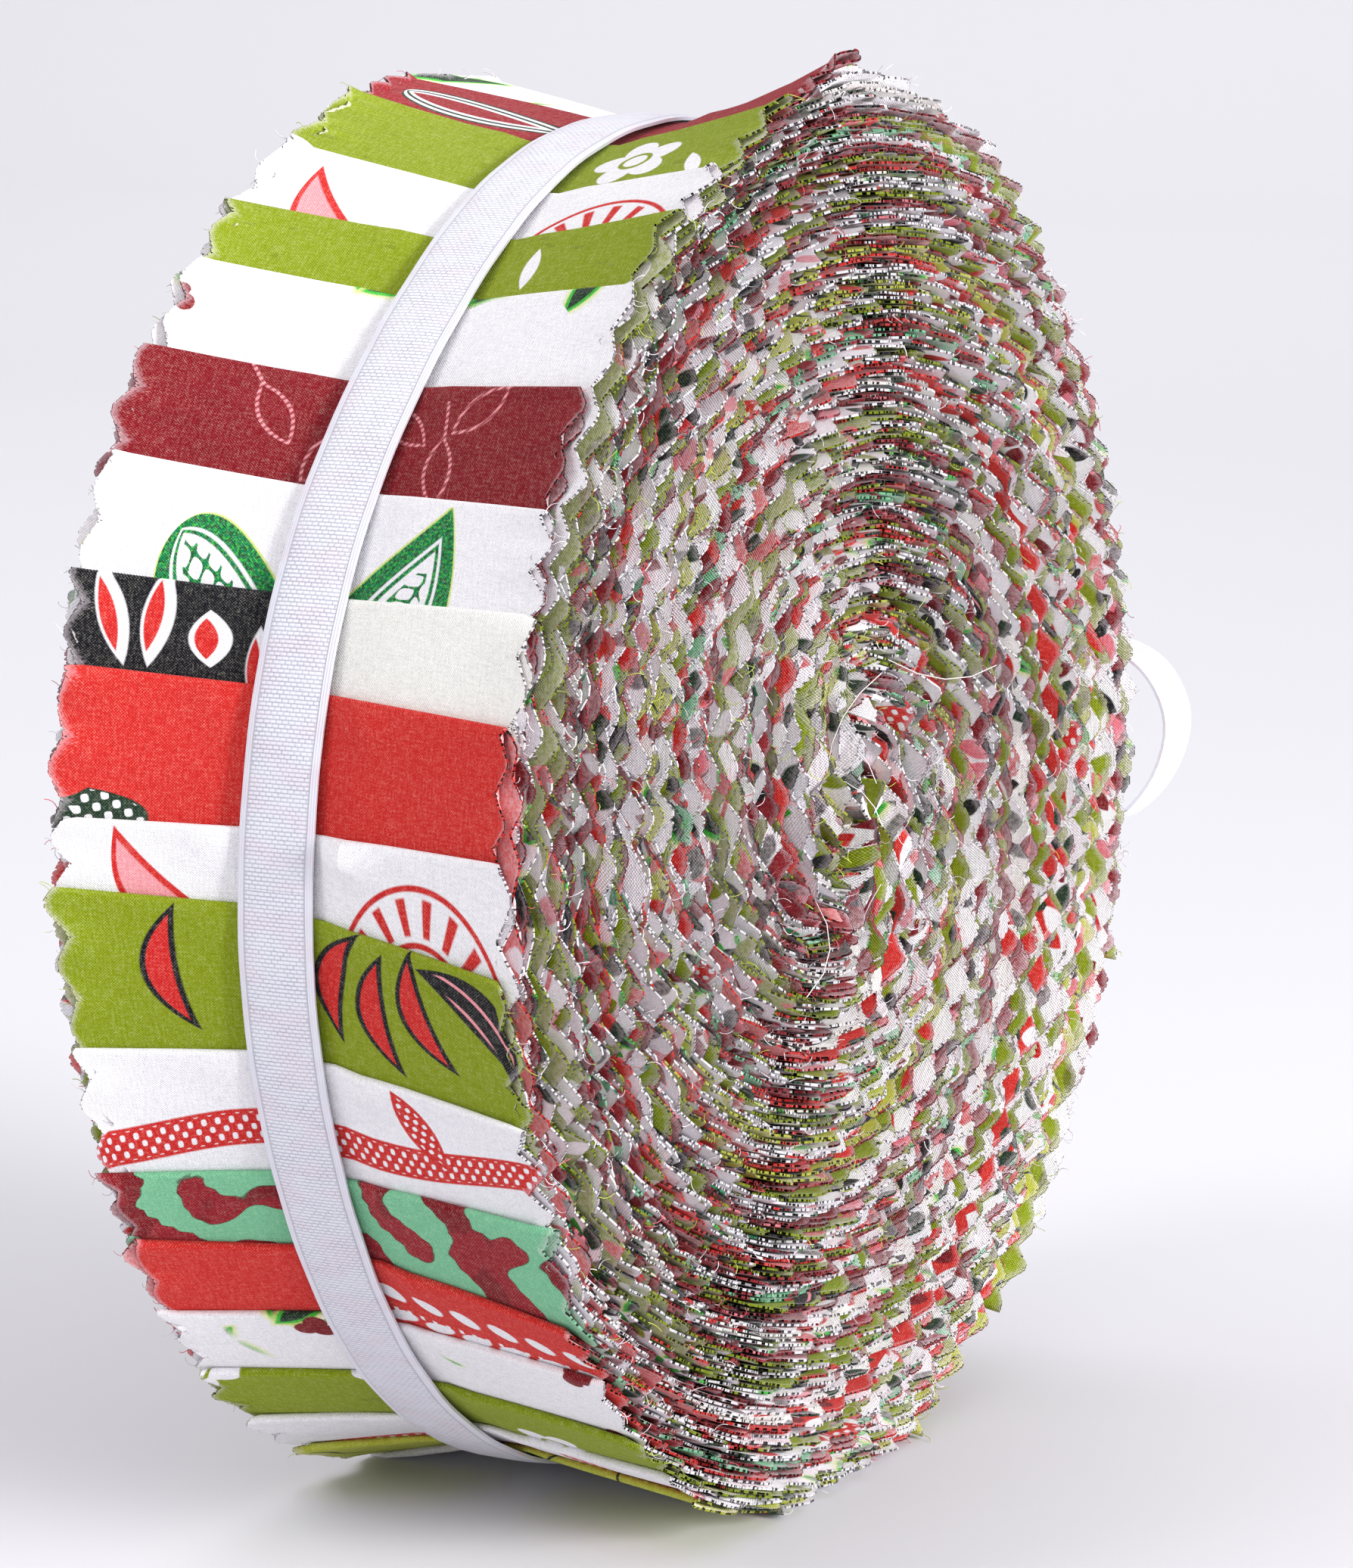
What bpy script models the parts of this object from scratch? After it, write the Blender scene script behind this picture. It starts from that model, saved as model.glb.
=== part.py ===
"""A roll of folded, pinked fabric strips standing on its rim, tied round the middle with a ribbon.

The roll's axis runs along X. The strips lie side by side round the rim like roof shingles: each one
starts with a fold that laps over the strip before it, then winds inward to the core. The ribbon pulls
the middle of the rim in, so both edges flare out, and it is tied in a bow at the back (+Y).
Units are metres, +Z is up, and the floor is z = 0.
"""

import math

import bmesh
import bpy
import numpy as np
from mathutils import Vector

MM = 0.001

# The roll
STRIPS = 40
HALF_WIDTH = 31.75 * MM
WAIST_RADIUS = 85.6 * MM
EDGE_FLARE = 6.2 * MM
FOLDED_PAIR = 1.04 * MM
FLAT_SPOT_SAG = 2.2 * MM
WAIST_SAG = 2.4 * MM
AXIS_HEIGHT = WAIST_RADIUS + EDGE_FLARE - FLAT_SPOT_SAG
AXIS_BACK = -6.0 * MM

# The dent that the ribbon lies in
GROOVE_HALF = 5.8 * MM
GROOVE_STEP = 0.3
PUCKER_AT = 10.0 * MM
NEAR_EDGE = 26.5 * MM

# The pinked edges
TOOTH_DEPTH = 2.7 * MM
WINDING_ARMS = 3
ARM_SHIFT = 0.8 * MM
STEPS_PER_STRIP = (0.03, 0.35, 0.67, 0.985)

# The hollow at the core, a slit that stands upright
SQUEEZE_RADIUS = 36.0 * MM
SLIT_NARROW = 0.55
SLIT_TALL = 0.30
SLIT_RINGS = ((6.4 * MM, 3.5 * MM), (4.6 * MM, 13.0 * MM))

# Rings of tooth tips on each face, from the rim inward: radius in mm, strips' steps per tooth side
FACE_RINGS = (
    (88.0, 1), (82.5, 1), (77.0, 1), (71.5, 1), (66.0, 1),
    (60.5, 2), (55.0, 2), (49.5, 2), (44.0, 2), (38.5, 2),
    (33.0, 4), (28.0, 4), (23.5, 4), (19.0, 4), (15.0, 4), (11.5, 4), (8.5, 4),
)

# The folds that show, from the top of the rim down its front to the floor
FOLD_COLUMNS = ("left", "angle", "right", "lift_left", "lift_right", "pucker_left", "pucker_right")
FOLDS = (
    (84.5, 91.5, 88.4, 0.0, 4.0, 0.0, 0.3),
    (76.6, 78.4, 76.5, 1.6, 1.0, 0.3, 0.2),
    (66.6, 67.2, 65.4, 0.6, -0.4, 0.0, 0.2),
    (57.5, 59.7, 58.3, 0.8, 0.6, 0.3, 0.2),
    (50.7, 52.0, 50.2, 0.8, 0.0, 0.2, 0.0),
    (41.8, 42.6, 40.2, 1.2, 0.0, 0.2, 0.2),
    (32.6, 32.6, 30.0, 0.8, -0.6, 0.0, 0.2),
    (23.1, 23.5, 22.1, 0.8, -0.8, 0.2, 0.0),
    (16.0, 15.9, 13.6, 0.4, -0.4, 0.3, 0.3),
    (4.6, 4.6, 4.0, 0.0, 0.8, 0.9, 2.0),
    (-0.7, -1.7, -4.9, 0.0, 0.6, 0.3, 0.5),
    (-13.4, -14.0, -15.9, -0.2, 0.8, 0.4, 0.9),
    (-24.4, -25.4, -24.3, 0.0, 0.6, 0.3, 0.5),
    (-31.1, -33.6, -35.0, -0.4, 0.6, 0.3, 0.6),
    (-39.2, -42.2, -40.6, 0.0, 0.2, 0.2, 0.3),
    (-47.3, -51.8, -49.3, 0.0, 0.6, 0.2, 0.3),
    (-56.0, -61.5, -56.8, 0.4, 0.0, 0.2, 0.2),
    (-65.0, -70.0, -63.8, 0.6, 0.2, 0.0, 0.0),
)
HIDDEN_SWAY = 0.7

# The ribbon
RIBBON_WIDTH = 10.0 * MM
PATH_COLUMNS = ("angle", "place")
RIBBON_PATH = (
    (-180.0, 0.0),
    (-130.0, -2.4),
    (-90.0, -5.2),
    (-60.0, -5.0),
    (-40.0, -4.4),
    (-20.0, -3.8),
    (0.0, -3.4),
    (15.0, -2.9),
    (28.0, -1.9),
    (42.0, -0.5),
    (60.0, 0.6),
    (90.0, 0.6),
    (180.0, 0.0),
)
RIBBON_THICK = 1.0 * MM
GAP = 0.3 * MM
BELT_STEPS = 80
KNOT_CENTRE = (0.0 * MM, 90.2 * MM, -4.0 * MM)
KNOT_SIZE = (12.5 * MM, 9.6 * MM, 13.5 * MM)

# Bow loop on the +X side, from the knot out and back, in mm from the knot's centre
LOOP_COLUMNS = ("out", "back", "up", "width")
LOOP = (
    (1.5, 0.3, 1.7, 6.0),
    (7.0, 2.7, 5.2, 8.2),
    (15.0, 6.0, 9.6, 9.4),
    (24.0, 8.8, 11.6, 9.6),
    (31.5, 9.2, 8.6, 9.6),
    (35.2, 9.4, 1.0, 9.6),
    (32.6, 9.3, -8.0, 9.6),
    (25.5, 8.9, -14.4, 9.6),
    (16.0, 6.2, -14.0, 9.4),
    (8.0, 2.8, -8.0, 8.2),
    (1.5, 0.3, -1.7, 6.0),
)

# Free end below the knot on the +X side, in mm from the knot's centre
TAIL = (
    (2.6, -1.9, -2.0, 6.5),
    (4.4, -1.6, -8.0, 8.6),
    (6.2, -1.2, -16.0, 9.6),
    (8.0, -1.0, -25.0, 9.6),
    (9.6, -1.6, -34.0, 9.6),
    (10.8, -3.0, -43.0, 9.6),
)
TAIL_SLANT = 3.0 * MM


def fold_rows():
    """Every strip's fold, in winding order: the measured ones, then the hidden ones spread evenly."""
    rows = [dict(zip(FOLD_COLUMNS, row)) for row in FOLDS]
    first = rows[0]["angle"]
    last = rows[-1]["angle"]
    hidden = STRIPS - len(rows)
    step = (last - (first - 360.0)) / (hidden + 1)
    for k in range(1, hidden + 1):
        sway = HIDDEN_SWAY * math.sin(2.3 * k)
        row = dict.fromkeys(FOLD_COLUMNS, 0.0)
        row["angle"] = last - step * k + sway
        row["left"] = row["angle"] - 0.75 * math.sin(1.7 * k)
        row["right"] = row["angle"] + 0.75 * math.sin(1.7 * k)
        row["lift_left"] = 0.5 * math.sin(1.1 * k)
        row["lift_right"] = 0.5 * math.cos(1.9 * k)
        rows.append(row)
    return rows


def on_roll(x, radius, angle):
    """A point of the roll, from its place along the axis, its radius and its angle up from the front."""
    return Vector((x, -radius * math.cos(angle), radius * math.sin(angle)))


def on_floor(point):
    """The roll's own weight presses it flat where it would dip below the floor."""
    return Vector((point.x, point.y, max(point.z, -AXIS_HEIGHT)))


def arm_shift(index):
    """How far strip number `index` stands out along +X, so that the winding shows on the faces."""
    return ARM_SHIFT * math.cos(2.0 * math.pi * WINDING_ARMS * index / STRIPS)


def fold_angle(row, x):
    """Angle of a fold at this place across the width, in degrees; it may bend at the waist."""
    end = row["right"] if x > 0.0 else row["left"]
    return row["angle"] + (end - row["angle"]) * abs(x) / HALF_WIDTH


def waist_sag(angle):
    """How much fuller the waist is near the bottom, where the roll's weight presses it out."""
    return WAIST_SAG * max(0.0, -math.sin(angle)) ** 4


def ribbon_place(angle):
    """Place of the ribbon's middle along the roll's axis, at this angle up from the front."""
    degrees = (math.degrees(angle) + 180.0) % 360.0 - 180.0
    path = smooth_path(RIBBON_PATH, 6)
    return MM * float(np.interp(degrees, [row[0] for row in path], [row[1] for row in path]))


def rim_radius(x, part, row, following, angle):
    """Radius of the outermost cloth, `part` of the way from one fold to the following one."""
    reach = max(0.0, abs(x) - GROOVE_HALF) / (HALF_WIDTH - GROOVE_HALF)
    side = "right" if x > 0.0 else "left"
    lift = row["lift_" + side] * (1.0 - part) + following["lift_" + side] * part
    pucker = row["pucker_" + side] * (1.0 - part) + following["pucker_" + side] * part
    near = max(0.0, 1.0 - abs(abs(x) - PUCKER_AT) / (0.42 * PUCKER_AT))
    drop = FOLDED_PAIR * part * (GROOVE_STEP + (1.0 - GROOVE_STEP) * min(1.0, 3.0 * reach))
    fuller = waist_sag(angle) * (1.0 - reach)
    return WAIST_RADIUS + EDGE_FLARE * reach + fuller - drop + MM * (lift * reach ** 2 + pucker * near)


def squeeze(point):
    """Press the turns round the core into an upright slit."""
    radius = math.hypot(point.y, point.z)
    blend = max(0.0, 1.0 - radius / SQUEEZE_RADIUS) ** 1.5
    return Vector((point.x, point.y * (1.0 - SLIT_NARROW * blend), point.z * (1.0 + SLIT_TALL * blend)))


def rim_stations():
    """Angles at mid width and rim columns of points, four stations for each strip round the rim."""
    rows = fold_rows()
    stations = []
    for k, row in enumerate(rows):
        following = dict(rows[(k + 1) % STRIPS])
        if k == STRIPS - 1:
            for name in ("left", "angle", "right"):
                following[name] -= 360.0
        for step, part in enumerate(STEPS_PER_STRIP):
            tooth = TOOTH_DEPTH * (step % 2)
            edge = HALF_WIDTH - tooth
            shift = arm_shift(k + part)
            columns = []
            for x in (-edge, -NEAR_EDGE, -PUCKER_AT, -GROOVE_HALF,
                      GROOVE_HALF, PUCKER_AT, NEAR_EDGE, edge):
                start = fold_angle(row, x)
                end = fold_angle(following, x)
                angle = math.radians(start + (end - start) * part)
                radius = rim_radius(x, part, row, following, angle)
                place = x + (shift if abs(x) > PUCKER_AT else ribbon_place(angle))
                columns.append((place, radius, angle))
            stations.append((k + part, columns))
    return stations


def face_ring(mesh, stations, side, radius, stride, parity):
    """One ring of tooth tips and notches on a face, following the outermost cloth's angles."""
    edge_radius = WAIST_RADIUS + EDGE_FLARE
    follow = max(0.0, (radius - 0.8 * edge_radius) / (0.2 * edge_radius))
    ring = []
    for count, station in enumerate(range(0, len(stations), stride)):
        index, columns = stations[station]
        x, rim, angle = columns[-1] if side > 0 else columns[0]
        strip = index + (edge_radius - radius) / FOLDED_PAIR
        tooth = TOOTH_DEPTH if (count + parity) % 2 else 0.0
        place = side * (HALF_WIDTH - tooth) + arm_shift(strip)
        local = radius + follow * (rim - edge_radius)
        ring.append(mesh.verts.new(on_floor(squeeze(on_roll(place, local, angle)))))
    return ring


def join_rings(mesh, outer, inner):
    """Close the band between two rings, where the inner one may have half as many points."""
    count = len(inner)
    ratio = len(outer) // count
    for j in range(count):
        after = (j + 1) % count
        if ratio == 1:
            mesh.faces.new((outer[j], outer[after], inner[after], inner[j]))
            continue
        near = outer[ratio * j]
        middle = outer[ratio * j + 1]
        far = outer[(ratio * j + 2) % len(outer)]
        mesh.faces.new((near, middle, inner[j]))
        mesh.faces.new((middle, far, inner[after], inner[j]))


def build_roll(material, collection, parent):
    """The wound roll: shingled rim, pinked faces and the slit at the core, as one closed loft."""
    mesh = bmesh.new()
    stations = rim_stations()
    grid = [[mesh.verts.new(on_floor(on_roll(*spot))) for spot in columns] for _, columns in stations]
    for j, column in enumerate(grid):
        after = grid[(j + 1) % len(grid)]
        for c in range(len(column) - 1):
            mesh.faces.new((column[c], column[c + 1], after[c + 1], after[c]))
    for side in (-1.0, 1.0):
        outer = [column[-1] if side > 0 else column[0] for column in grid]
        for parity, (radius, stride) in enumerate(FACE_RINGS, start=1):
            inner = face_ring(mesh, stations, side, radius * MM, stride, parity)
            join_rings(mesh, outer, inner)
            outer = inner
        for radius, depth in SLIT_RINGS:
            inner = []
            for point in outer:
                flat = math.atan2(point.co.z / (1.0 + SLIT_TALL), -point.co.y / (1.0 - SLIT_NARROW))
                place = side * (HALF_WIDTH - depth)
                inner.append(mesh.verts.new(squeeze(on_roll(place, radius, flat))))
            join_rings(mesh, outer, inner)
            outer = inner
        mesh.faces.new(outer)
    bmesh.ops.recalc_face_normals(mesh, faces=mesh.faces)
    data = bpy.data.meshes.new("strip_roll")
    mesh.to_mesh(data)
    mesh.free()
    roll = bpy.data.objects.new("strip_roll", data)
    roll.data.materials.append(material)
    collection.objects.link(roll)
    roll.parent = parent
    return roll


def smooth_path(rows, steps):
    """Points on a smooth curve through the rows, `steps` of them between one row and the next."""
    out = []
    last = len(rows) - 1
    for k in range(last):
        before = rows[max(k - 1, 0)]
        start = rows[k]
        end = rows[k + 1]
        beyond = rows[min(k + 2, last)]
        for s in range(steps):
            t = s / steps
            point = []
            for a, b, c, d in zip(before, start, end, beyond):
                bend = (2.0 * a - 5.0 * b + 4.0 * c - d) * t * t
                turn = (3.0 * b - a - 3.0 * c + d) * t * t * t
                point.append(0.5 * (2.0 * b + (c - a) * t + bend + turn))
            out.append(tuple(point))
    out.append(rows[last])
    return out


def cloth_sheet(name, rows, closed, thick, material, collection, parent):
    """A strip of cloth through rows of points, made solid by Solidify."""
    mesh = bmesh.new()
    grid = [[mesh.verts.new(point) for point in row] for row in rows]
    count = len(grid) if closed else len(grid) - 1
    for j in range(count):
        here = grid[j]
        after = grid[(j + 1) % len(grid)]
        for c in range(len(here) - 1):
            mesh.faces.new((here[c], here[c + 1], after[c + 1], after[c]))
    data = bpy.data.meshes.new(name)
    mesh.to_mesh(data)
    mesh.free()
    data.materials.append(material)
    sheet = bpy.data.objects.new(name, data)
    collection.objects.link(sheet)
    sheet.parent = parent
    solid = sheet.modifiers.new("thickness", "SOLIDIFY")
    solid.thickness = thick
    solid.offset = 0.0
    return sheet


def belt_rows():
    """The ribbon once round the waist, pulled tight over the steps of the strips."""
    rows = []
    for j in range(BELT_STEPS):
        angle = 2.0 * math.pi * j / BELT_STEPS
        radius = WAIST_RADIUS + waist_sag(angle) + GAP + 0.5 * RIBBON_THICK
        row = []
        for across in (-0.5, 0.5):
            row.append(on_roll(ribbon_place(angle) + across * RIBBON_WIDTH, radius, angle))
        rows.append(row)
    return rows


def loop_rows(side):
    """A bow loop: the ribbon stands on edge, its width pointing away from the roll."""
    rows = []
    for out, back, up, width in smooth_path(LOOP, 2):
        centre = Vector(KNOT_CENTRE) + MM * Vector((side * out, back, up))
        half = 0.5 * width * MM
        row = []
        for across in (-1.0, 0.0, 1.0):
            row.append(centre + Vector((0.0, across * half, 0.0)))
        rows.append(row)
    return rows


def tail_rows(side):
    """A free end that hangs down behind the rim, its end cut on the slant."""
    points = smooth_path(TAIL, 2)
    rows = []
    for j, (out, back, up, width) in enumerate(points):
        centre = Vector(KNOT_CENTRE) + MM * Vector((side * out, back, up))
        half = 0.5 * width * MM
        slant = TAIL_SLANT if j == len(points) - 1 else 0.0
        row = []
        for across in (-1.0, 0.0, 1.0):
            row.append(centre + Vector((across * half, 0.0, across * side * slant)))
        rows.append(row)
    return rows


def build_knot(material, collection, parent):
    """The wrapped knot at the back, a soft rounded block."""
    bpy.ops.mesh.primitive_cube_add(size=1.0)
    knot = bpy.context.active_object
    knot.name = "knot_form"
    for vertex in knot.data.vertices:
        for axis in range(3):
            vertex.co[axis] *= KNOT_SIZE[axis]
    knot.location = KNOT_CENTRE
    knot.parent = parent
    knot.data.materials.append(material)
    soft = knot.modifiers.new("soft", "SUBSURF")
    soft.levels = 2
    soft.render_levels = 2
    for other in list(knot.users_collection):
        other.objects.unlink(knot)
    collection.objects.link(knot)
    return knot


def build_ribbon(material, collection, cutters, parent):
    """One length of ribbon: the belt with the knot, both loops and both free ends joined on."""
    ribbon = cloth_sheet("ribbon", belt_rows(), True, RIBBON_THICK, material, collection, parent)
    forms = [build_knot(material, cutters, parent)]
    for side, word in ((1.0, "right"), (-1.0, "left")):
        forms.append(cloth_sheet("loop_form_" + word, loop_rows(side), False, RIBBON_THICK,
                                 material, cutters, parent))
        forms.append(cloth_sheet("tail_form_" + word, tail_rows(side), False, RIBBON_THICK,
                                 material, cutters, parent))
    for form in forms:
        form.hide_render = True
        form.display_type = "WIRE"
        union = ribbon.modifiers.new("join_" + form.name, "BOOLEAN")
        union.operation = "UNION"
        union.solver = "EXACT"
        union.object = form
    return ribbon


def cloth_material(name, colour, roughness):
    """A plain dull cloth finish."""
    material = bpy.data.materials.new(name)
    material.use_nodes = True
    shader = material.node_tree.nodes["Principled BSDF"]
    shader.inputs["Base Color"].default_value = (*colour, 1.0)
    shader.inputs["Roughness"].default_value = roughness
    shader.inputs["Metallic"].default_value = 0.0
    return material


def main():
    for item in list(bpy.data.objects):
        bpy.data.objects.remove(item, do_unlink=True)
    parts = bpy.data.collections.new("fabric_strip_roll")
    cutters = bpy.data.collections.new("cutters")
    bpy.context.scene.collection.children.link(parts)
    bpy.context.scene.collection.children.link(cutters)
    centre = bpy.data.objects.new("roll_axis", None)
    centre.location = (0.0, AXIS_BACK, AXIS_HEIGHT)
    parts.objects.link(centre)
    cotton = cloth_material("printed_cotton", (0.72, 0.60, 0.55), 0.9)
    satin = cloth_material("woven_ribbon", (0.84, 0.84, 0.88), 0.55)
    build_roll(cotton, parts, centre)
    build_ribbon(satin, parts, cutters, centre)


main()
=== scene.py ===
# %% [markdown]
# # A roll of folded quilting strips, tied with a ribbon
# Forty strips of printed cotton, each 2.5 inches (63.5 mm) wide with pinked edges, are folded in half
# and wound together into one roll with a tight core. A woven ribbon pulls the middle of the roll in
# and is tied in a bow at the back. Blender could fake the roll with a bumpy cylinder, but here each
# strip is a real thin sheet that follows the winding, because the look of the roll is its hundreds of
# cut edges.
#
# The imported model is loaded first. It is the fixed frame: everything made here sits where it says.

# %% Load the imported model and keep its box
import math
import random

import bpy
import numpy as np
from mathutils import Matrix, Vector


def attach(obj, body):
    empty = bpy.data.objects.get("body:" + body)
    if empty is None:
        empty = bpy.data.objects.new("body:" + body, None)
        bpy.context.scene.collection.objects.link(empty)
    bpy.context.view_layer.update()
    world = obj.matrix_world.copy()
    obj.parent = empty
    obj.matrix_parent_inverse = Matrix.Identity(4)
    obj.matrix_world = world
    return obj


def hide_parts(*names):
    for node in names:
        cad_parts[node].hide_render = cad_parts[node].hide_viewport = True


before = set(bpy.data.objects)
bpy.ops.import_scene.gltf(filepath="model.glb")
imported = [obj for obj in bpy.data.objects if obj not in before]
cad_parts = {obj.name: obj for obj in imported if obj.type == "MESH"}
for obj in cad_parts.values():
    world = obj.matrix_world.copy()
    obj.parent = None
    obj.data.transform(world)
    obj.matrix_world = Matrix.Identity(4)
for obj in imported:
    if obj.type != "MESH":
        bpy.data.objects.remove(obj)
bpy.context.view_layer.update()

MM = 0.001

# %% [markdown]
# ## Sizes of the roll
# All sizes are in metres, and the names are a quilter's: a strip has a width, pinked teeth have a depth
# and a pitch, and a folded pair is two layers of cloth. The roll's axis lies along X, at this height
# above the floor and this far from the origin.

# %% Sizes of the roll
STRIPS = 40
HALF_WIDTH = 31.75 * MM
STRIP_LENGTH = 1.12
WAIST_RADIUS = 85.6 * MM
EDGE_FLARE = 6.2 * MM
EDGE_RADIUS = WAIST_RADIUS + EDGE_FLARE
FOLDED_PAIR = 1.04 * MM
AXIS_BACK = -6.0 * MM
AXIS_HEIGHT = 89.6 * MM
WAIST_SAG = 2.4 * MM
GROOVE_HALF = 5.8 * MM
PUCKER_AT = 10.0 * MM
TOOTH_DEPTH = 2.7 * MM
TOOTH_PITCH = 7.5 * MM
CLOTH_THICK = 0.3 * MM
AXIS = Vector((0.0, AXIS_BACK, AXIS_HEIGHT))
print("roll", round(2000 * EDGE_RADIUS, 1), "mm across,", round(2000 * HALF_WIDTH, 1), "mm wide")

# %% [markdown]
# ## Camera
# The camera stands a little to the right of the roll's front and a little above it, with a long lens,
# so that both the rim and one pinked face show. Azimuth and elevation give the direction, and the aim
# is moved slightly to the right of the axis, because the roll stands left of the picture's middle.

# %% Camera
CAMERA_AZIMUTH = math.radians(26.8)
CAMERA_ELEVATION = math.radians(9.5)
CAMERA_DISTANCE = 750.0 * MM
CAMERA_LENS = 153.8
AIM_RIGHT = 5.1 * MM

back = Vector((math.sin(CAMERA_AZIMUTH) * math.cos(CAMERA_ELEVATION),
               -math.cos(CAMERA_AZIMUTH) * math.cos(CAMERA_ELEVATION),
               math.sin(CAMERA_ELEVATION)))
right = Vector((math.cos(CAMERA_AZIMUTH), math.sin(CAMERA_AZIMUTH), 0.0))
lens = bpy.data.cameras.new("camera")
lens.sensor_fit = "HORIZONTAL"
lens.sensor_width = 36.0
lens.lens = CAMERA_LENS
camera = bpy.data.objects.new("camera", lens)
bpy.context.scene.collection.objects.link(camera)
camera.location = AXIS + AIM_RIGHT * right + CAMERA_DISTANCE * back
camera.rotation_euler = back.to_track_quat("Z", "Y").to_euler()
bpy.context.scene.camera = camera
print("camera at", [round(c, 3) for c in camera.location])

# %% [markdown]
# ## Sums written as plain arithmetic
# Both geometry and shader trees do their sums with Math nodes. This small class wraps one number that
# travels through a tree, so that `a * b + 1` adds the two Math nodes for it. The trees stay ordinary
# node trees that can be opened and read in Blender.

# %% A number in a node tree
def join(tree, value, socket):
    """Give a socket a wire, another node's output or a plain value."""
    if isinstance(value, Wire):
        tree.links.new(value.socket, socket)
    elif isinstance(value, bpy.types.NodeSocket):
        tree.links.new(value, socket)
    else:
        socket.default_value = value


class Wire:
    """One number in a node tree."""

    def __init__(self, tree, socket):
        self.tree = tree
        self.socket = socket

    def calc(self, operation, *others):
        node = self.tree.nodes.new("ShaderNodeMath")
        node.operation = operation
        for slot, value in enumerate((self, *others)):
            join(self.tree, value, node.inputs[slot])
        return Wire(self.tree, node.outputs[0])

    def __add__(self, other):
        return self.calc("ADD", other)

    def __sub__(self, other):
        return self.calc("SUBTRACT", other)

    def __mul__(self, other):
        return self.calc("MULTIPLY", other)

    def __truediv__(self, other):
        return self.calc("DIVIDE", other)

    def __neg__(self):
        return self.calc("MULTIPLY", -1.0)

    __radd__ = __add__
    __rmul__ = __mul__

    def __rsub__(self, other):
        return -self + other

    def size(self):
        return self.calc("ABSOLUTE")

    def power(self, other):
        return self.calc("POWER", other)

    def at_least(self, other):
        return self.calc("MAXIMUM", other)

    def at_most(self, other):
        return self.calc("MINIMUM", other)

    def held(self):
        """Kept between 0 and 1."""
        return self.at_least(0.0).at_most(1.0)

    def wave(self):
        return self.calc("SINE")

    def over(self, edge, soft):
        """1 above the edge and 0 below it, with a soft step between."""
        return ((self - edge) / soft + 0.5).held()


# %% [markdown]
# ## The folds round the rim
# Each strip starts with a fold that laps over the strip before it. The table gives the folds that show,
# from the top of the rim down its front: the angle up from the front at the left end, the middle and
# the right end, in degrees; then how far the two ends lift, and how much the cloth puckers beside the
# ribbon, in millimetres. The rest are spread evenly round the back.

# %% Table of the folds
FOLD_COLUMNS = ("left", "angle", "right", "lift_left", "lift_right", "pucker_left", "pucker_right")
FOLDS = (
    (84.5, 91.5, 88.4, 0.0, 4.0, 0.0, 0.3),
    (76.6, 78.4, 76.5, 1.6, 1.0, 0.3, 0.2),
    (66.6, 67.2, 65.4, 0.6, -0.4, 0.0, 0.2),
    (57.5, 59.7, 58.3, 0.8, 0.6, 0.3, 0.2),
    (50.7, 52.0, 50.2, 0.8, 0.0, 0.2, 0.0),
    (41.8, 42.6, 40.2, 1.2, 0.0, 0.2, 0.2),
    (32.6, 32.6, 30.0, 0.8, -0.6, 0.0, 0.2),
    (23.1, 23.5, 22.1, 0.8, -0.8, 0.2, 0.0),
    (16.0, 15.9, 13.6, 0.4, -0.4, 0.3, 0.3),
    (4.6, 4.6, 4.0, 0.0, 0.8, 0.9, 2.0),
    (-0.7, -1.7, -4.9, 0.0, 0.6, 0.3, 0.5),
    (-13.4, -14.0, -15.9, -0.2, 0.8, 0.4, 0.9),
    (-24.4, -25.4, -24.3, 0.0, 0.6, 0.3, 0.5),
    (-31.1, -33.6, -35.0, -0.4, 0.6, 0.3, 0.6),
    (-39.2, -42.2, -40.6, 0.0, 0.2, 0.2, 0.3),
    (-47.3, -51.8, -49.3, 0.0, 0.6, 0.2, 0.3),
    (-56.0, -61.5, -56.8, 0.4, 0.0, 0.2, 0.2),
    (-65.0, -70.0, -63.8, 0.6, 0.2, 0.0, 0.0),
)
HIDDEN_SWAY = 0.7
TURNS_DEEP = 4


def fold_field():
    """Each column of the table, run on for several turns, as arrays over the fold's number."""
    rows = [dict(zip(FOLD_COLUMNS, row)) for row in FOLDS]
    first, last = rows[0]["angle"], rows[-1]["angle"]
    hidden = STRIPS - len(rows)
    step = (last - (first - 360.0)) / (hidden + 1)
    for k in range(1, hidden + 1):
        row = dict.fromkeys(FOLD_COLUMNS, 0.0)
        row["angle"] = last - step * k + HIDDEN_SWAY * math.sin(2.3 * k)
        row["left"] = row["angle"] - 0.75 * math.sin(1.7 * k)
        row["right"] = row["angle"] + 0.75 * math.sin(1.7 * k)
        row["lift_left"] = 0.5 * math.sin(1.1 * k)
        row["lift_right"] = 0.5 * math.cos(1.9 * k)
        rows.append(row)
    count = STRIPS * TURNS_DEEP
    field = {name: np.array([rows[k % STRIPS][name] for k in range(count)]) for name in FOLD_COLUMNS}
    for side in ("left", "right"):
        field["bend_" + side] = np.radians(field[side] - field["angle"])
    field["angle"] = np.radians(field["angle"] - 360.0 * (np.arange(count) // STRIPS))
    return field


field = fold_field()
print("folds:", STRIPS, "first at", round(math.degrees(field["angle"][0]), 1), "degrees")

# %% [markdown]
# ## The ribbon's path
# The ribbon doesn't run straight round the roll: it drifts to the left on its way down the front. The
# waist that it pulls in drifts with it, so both the winding and the ribbon read this one path. It is a
# smooth curve through a few measured places.

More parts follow.
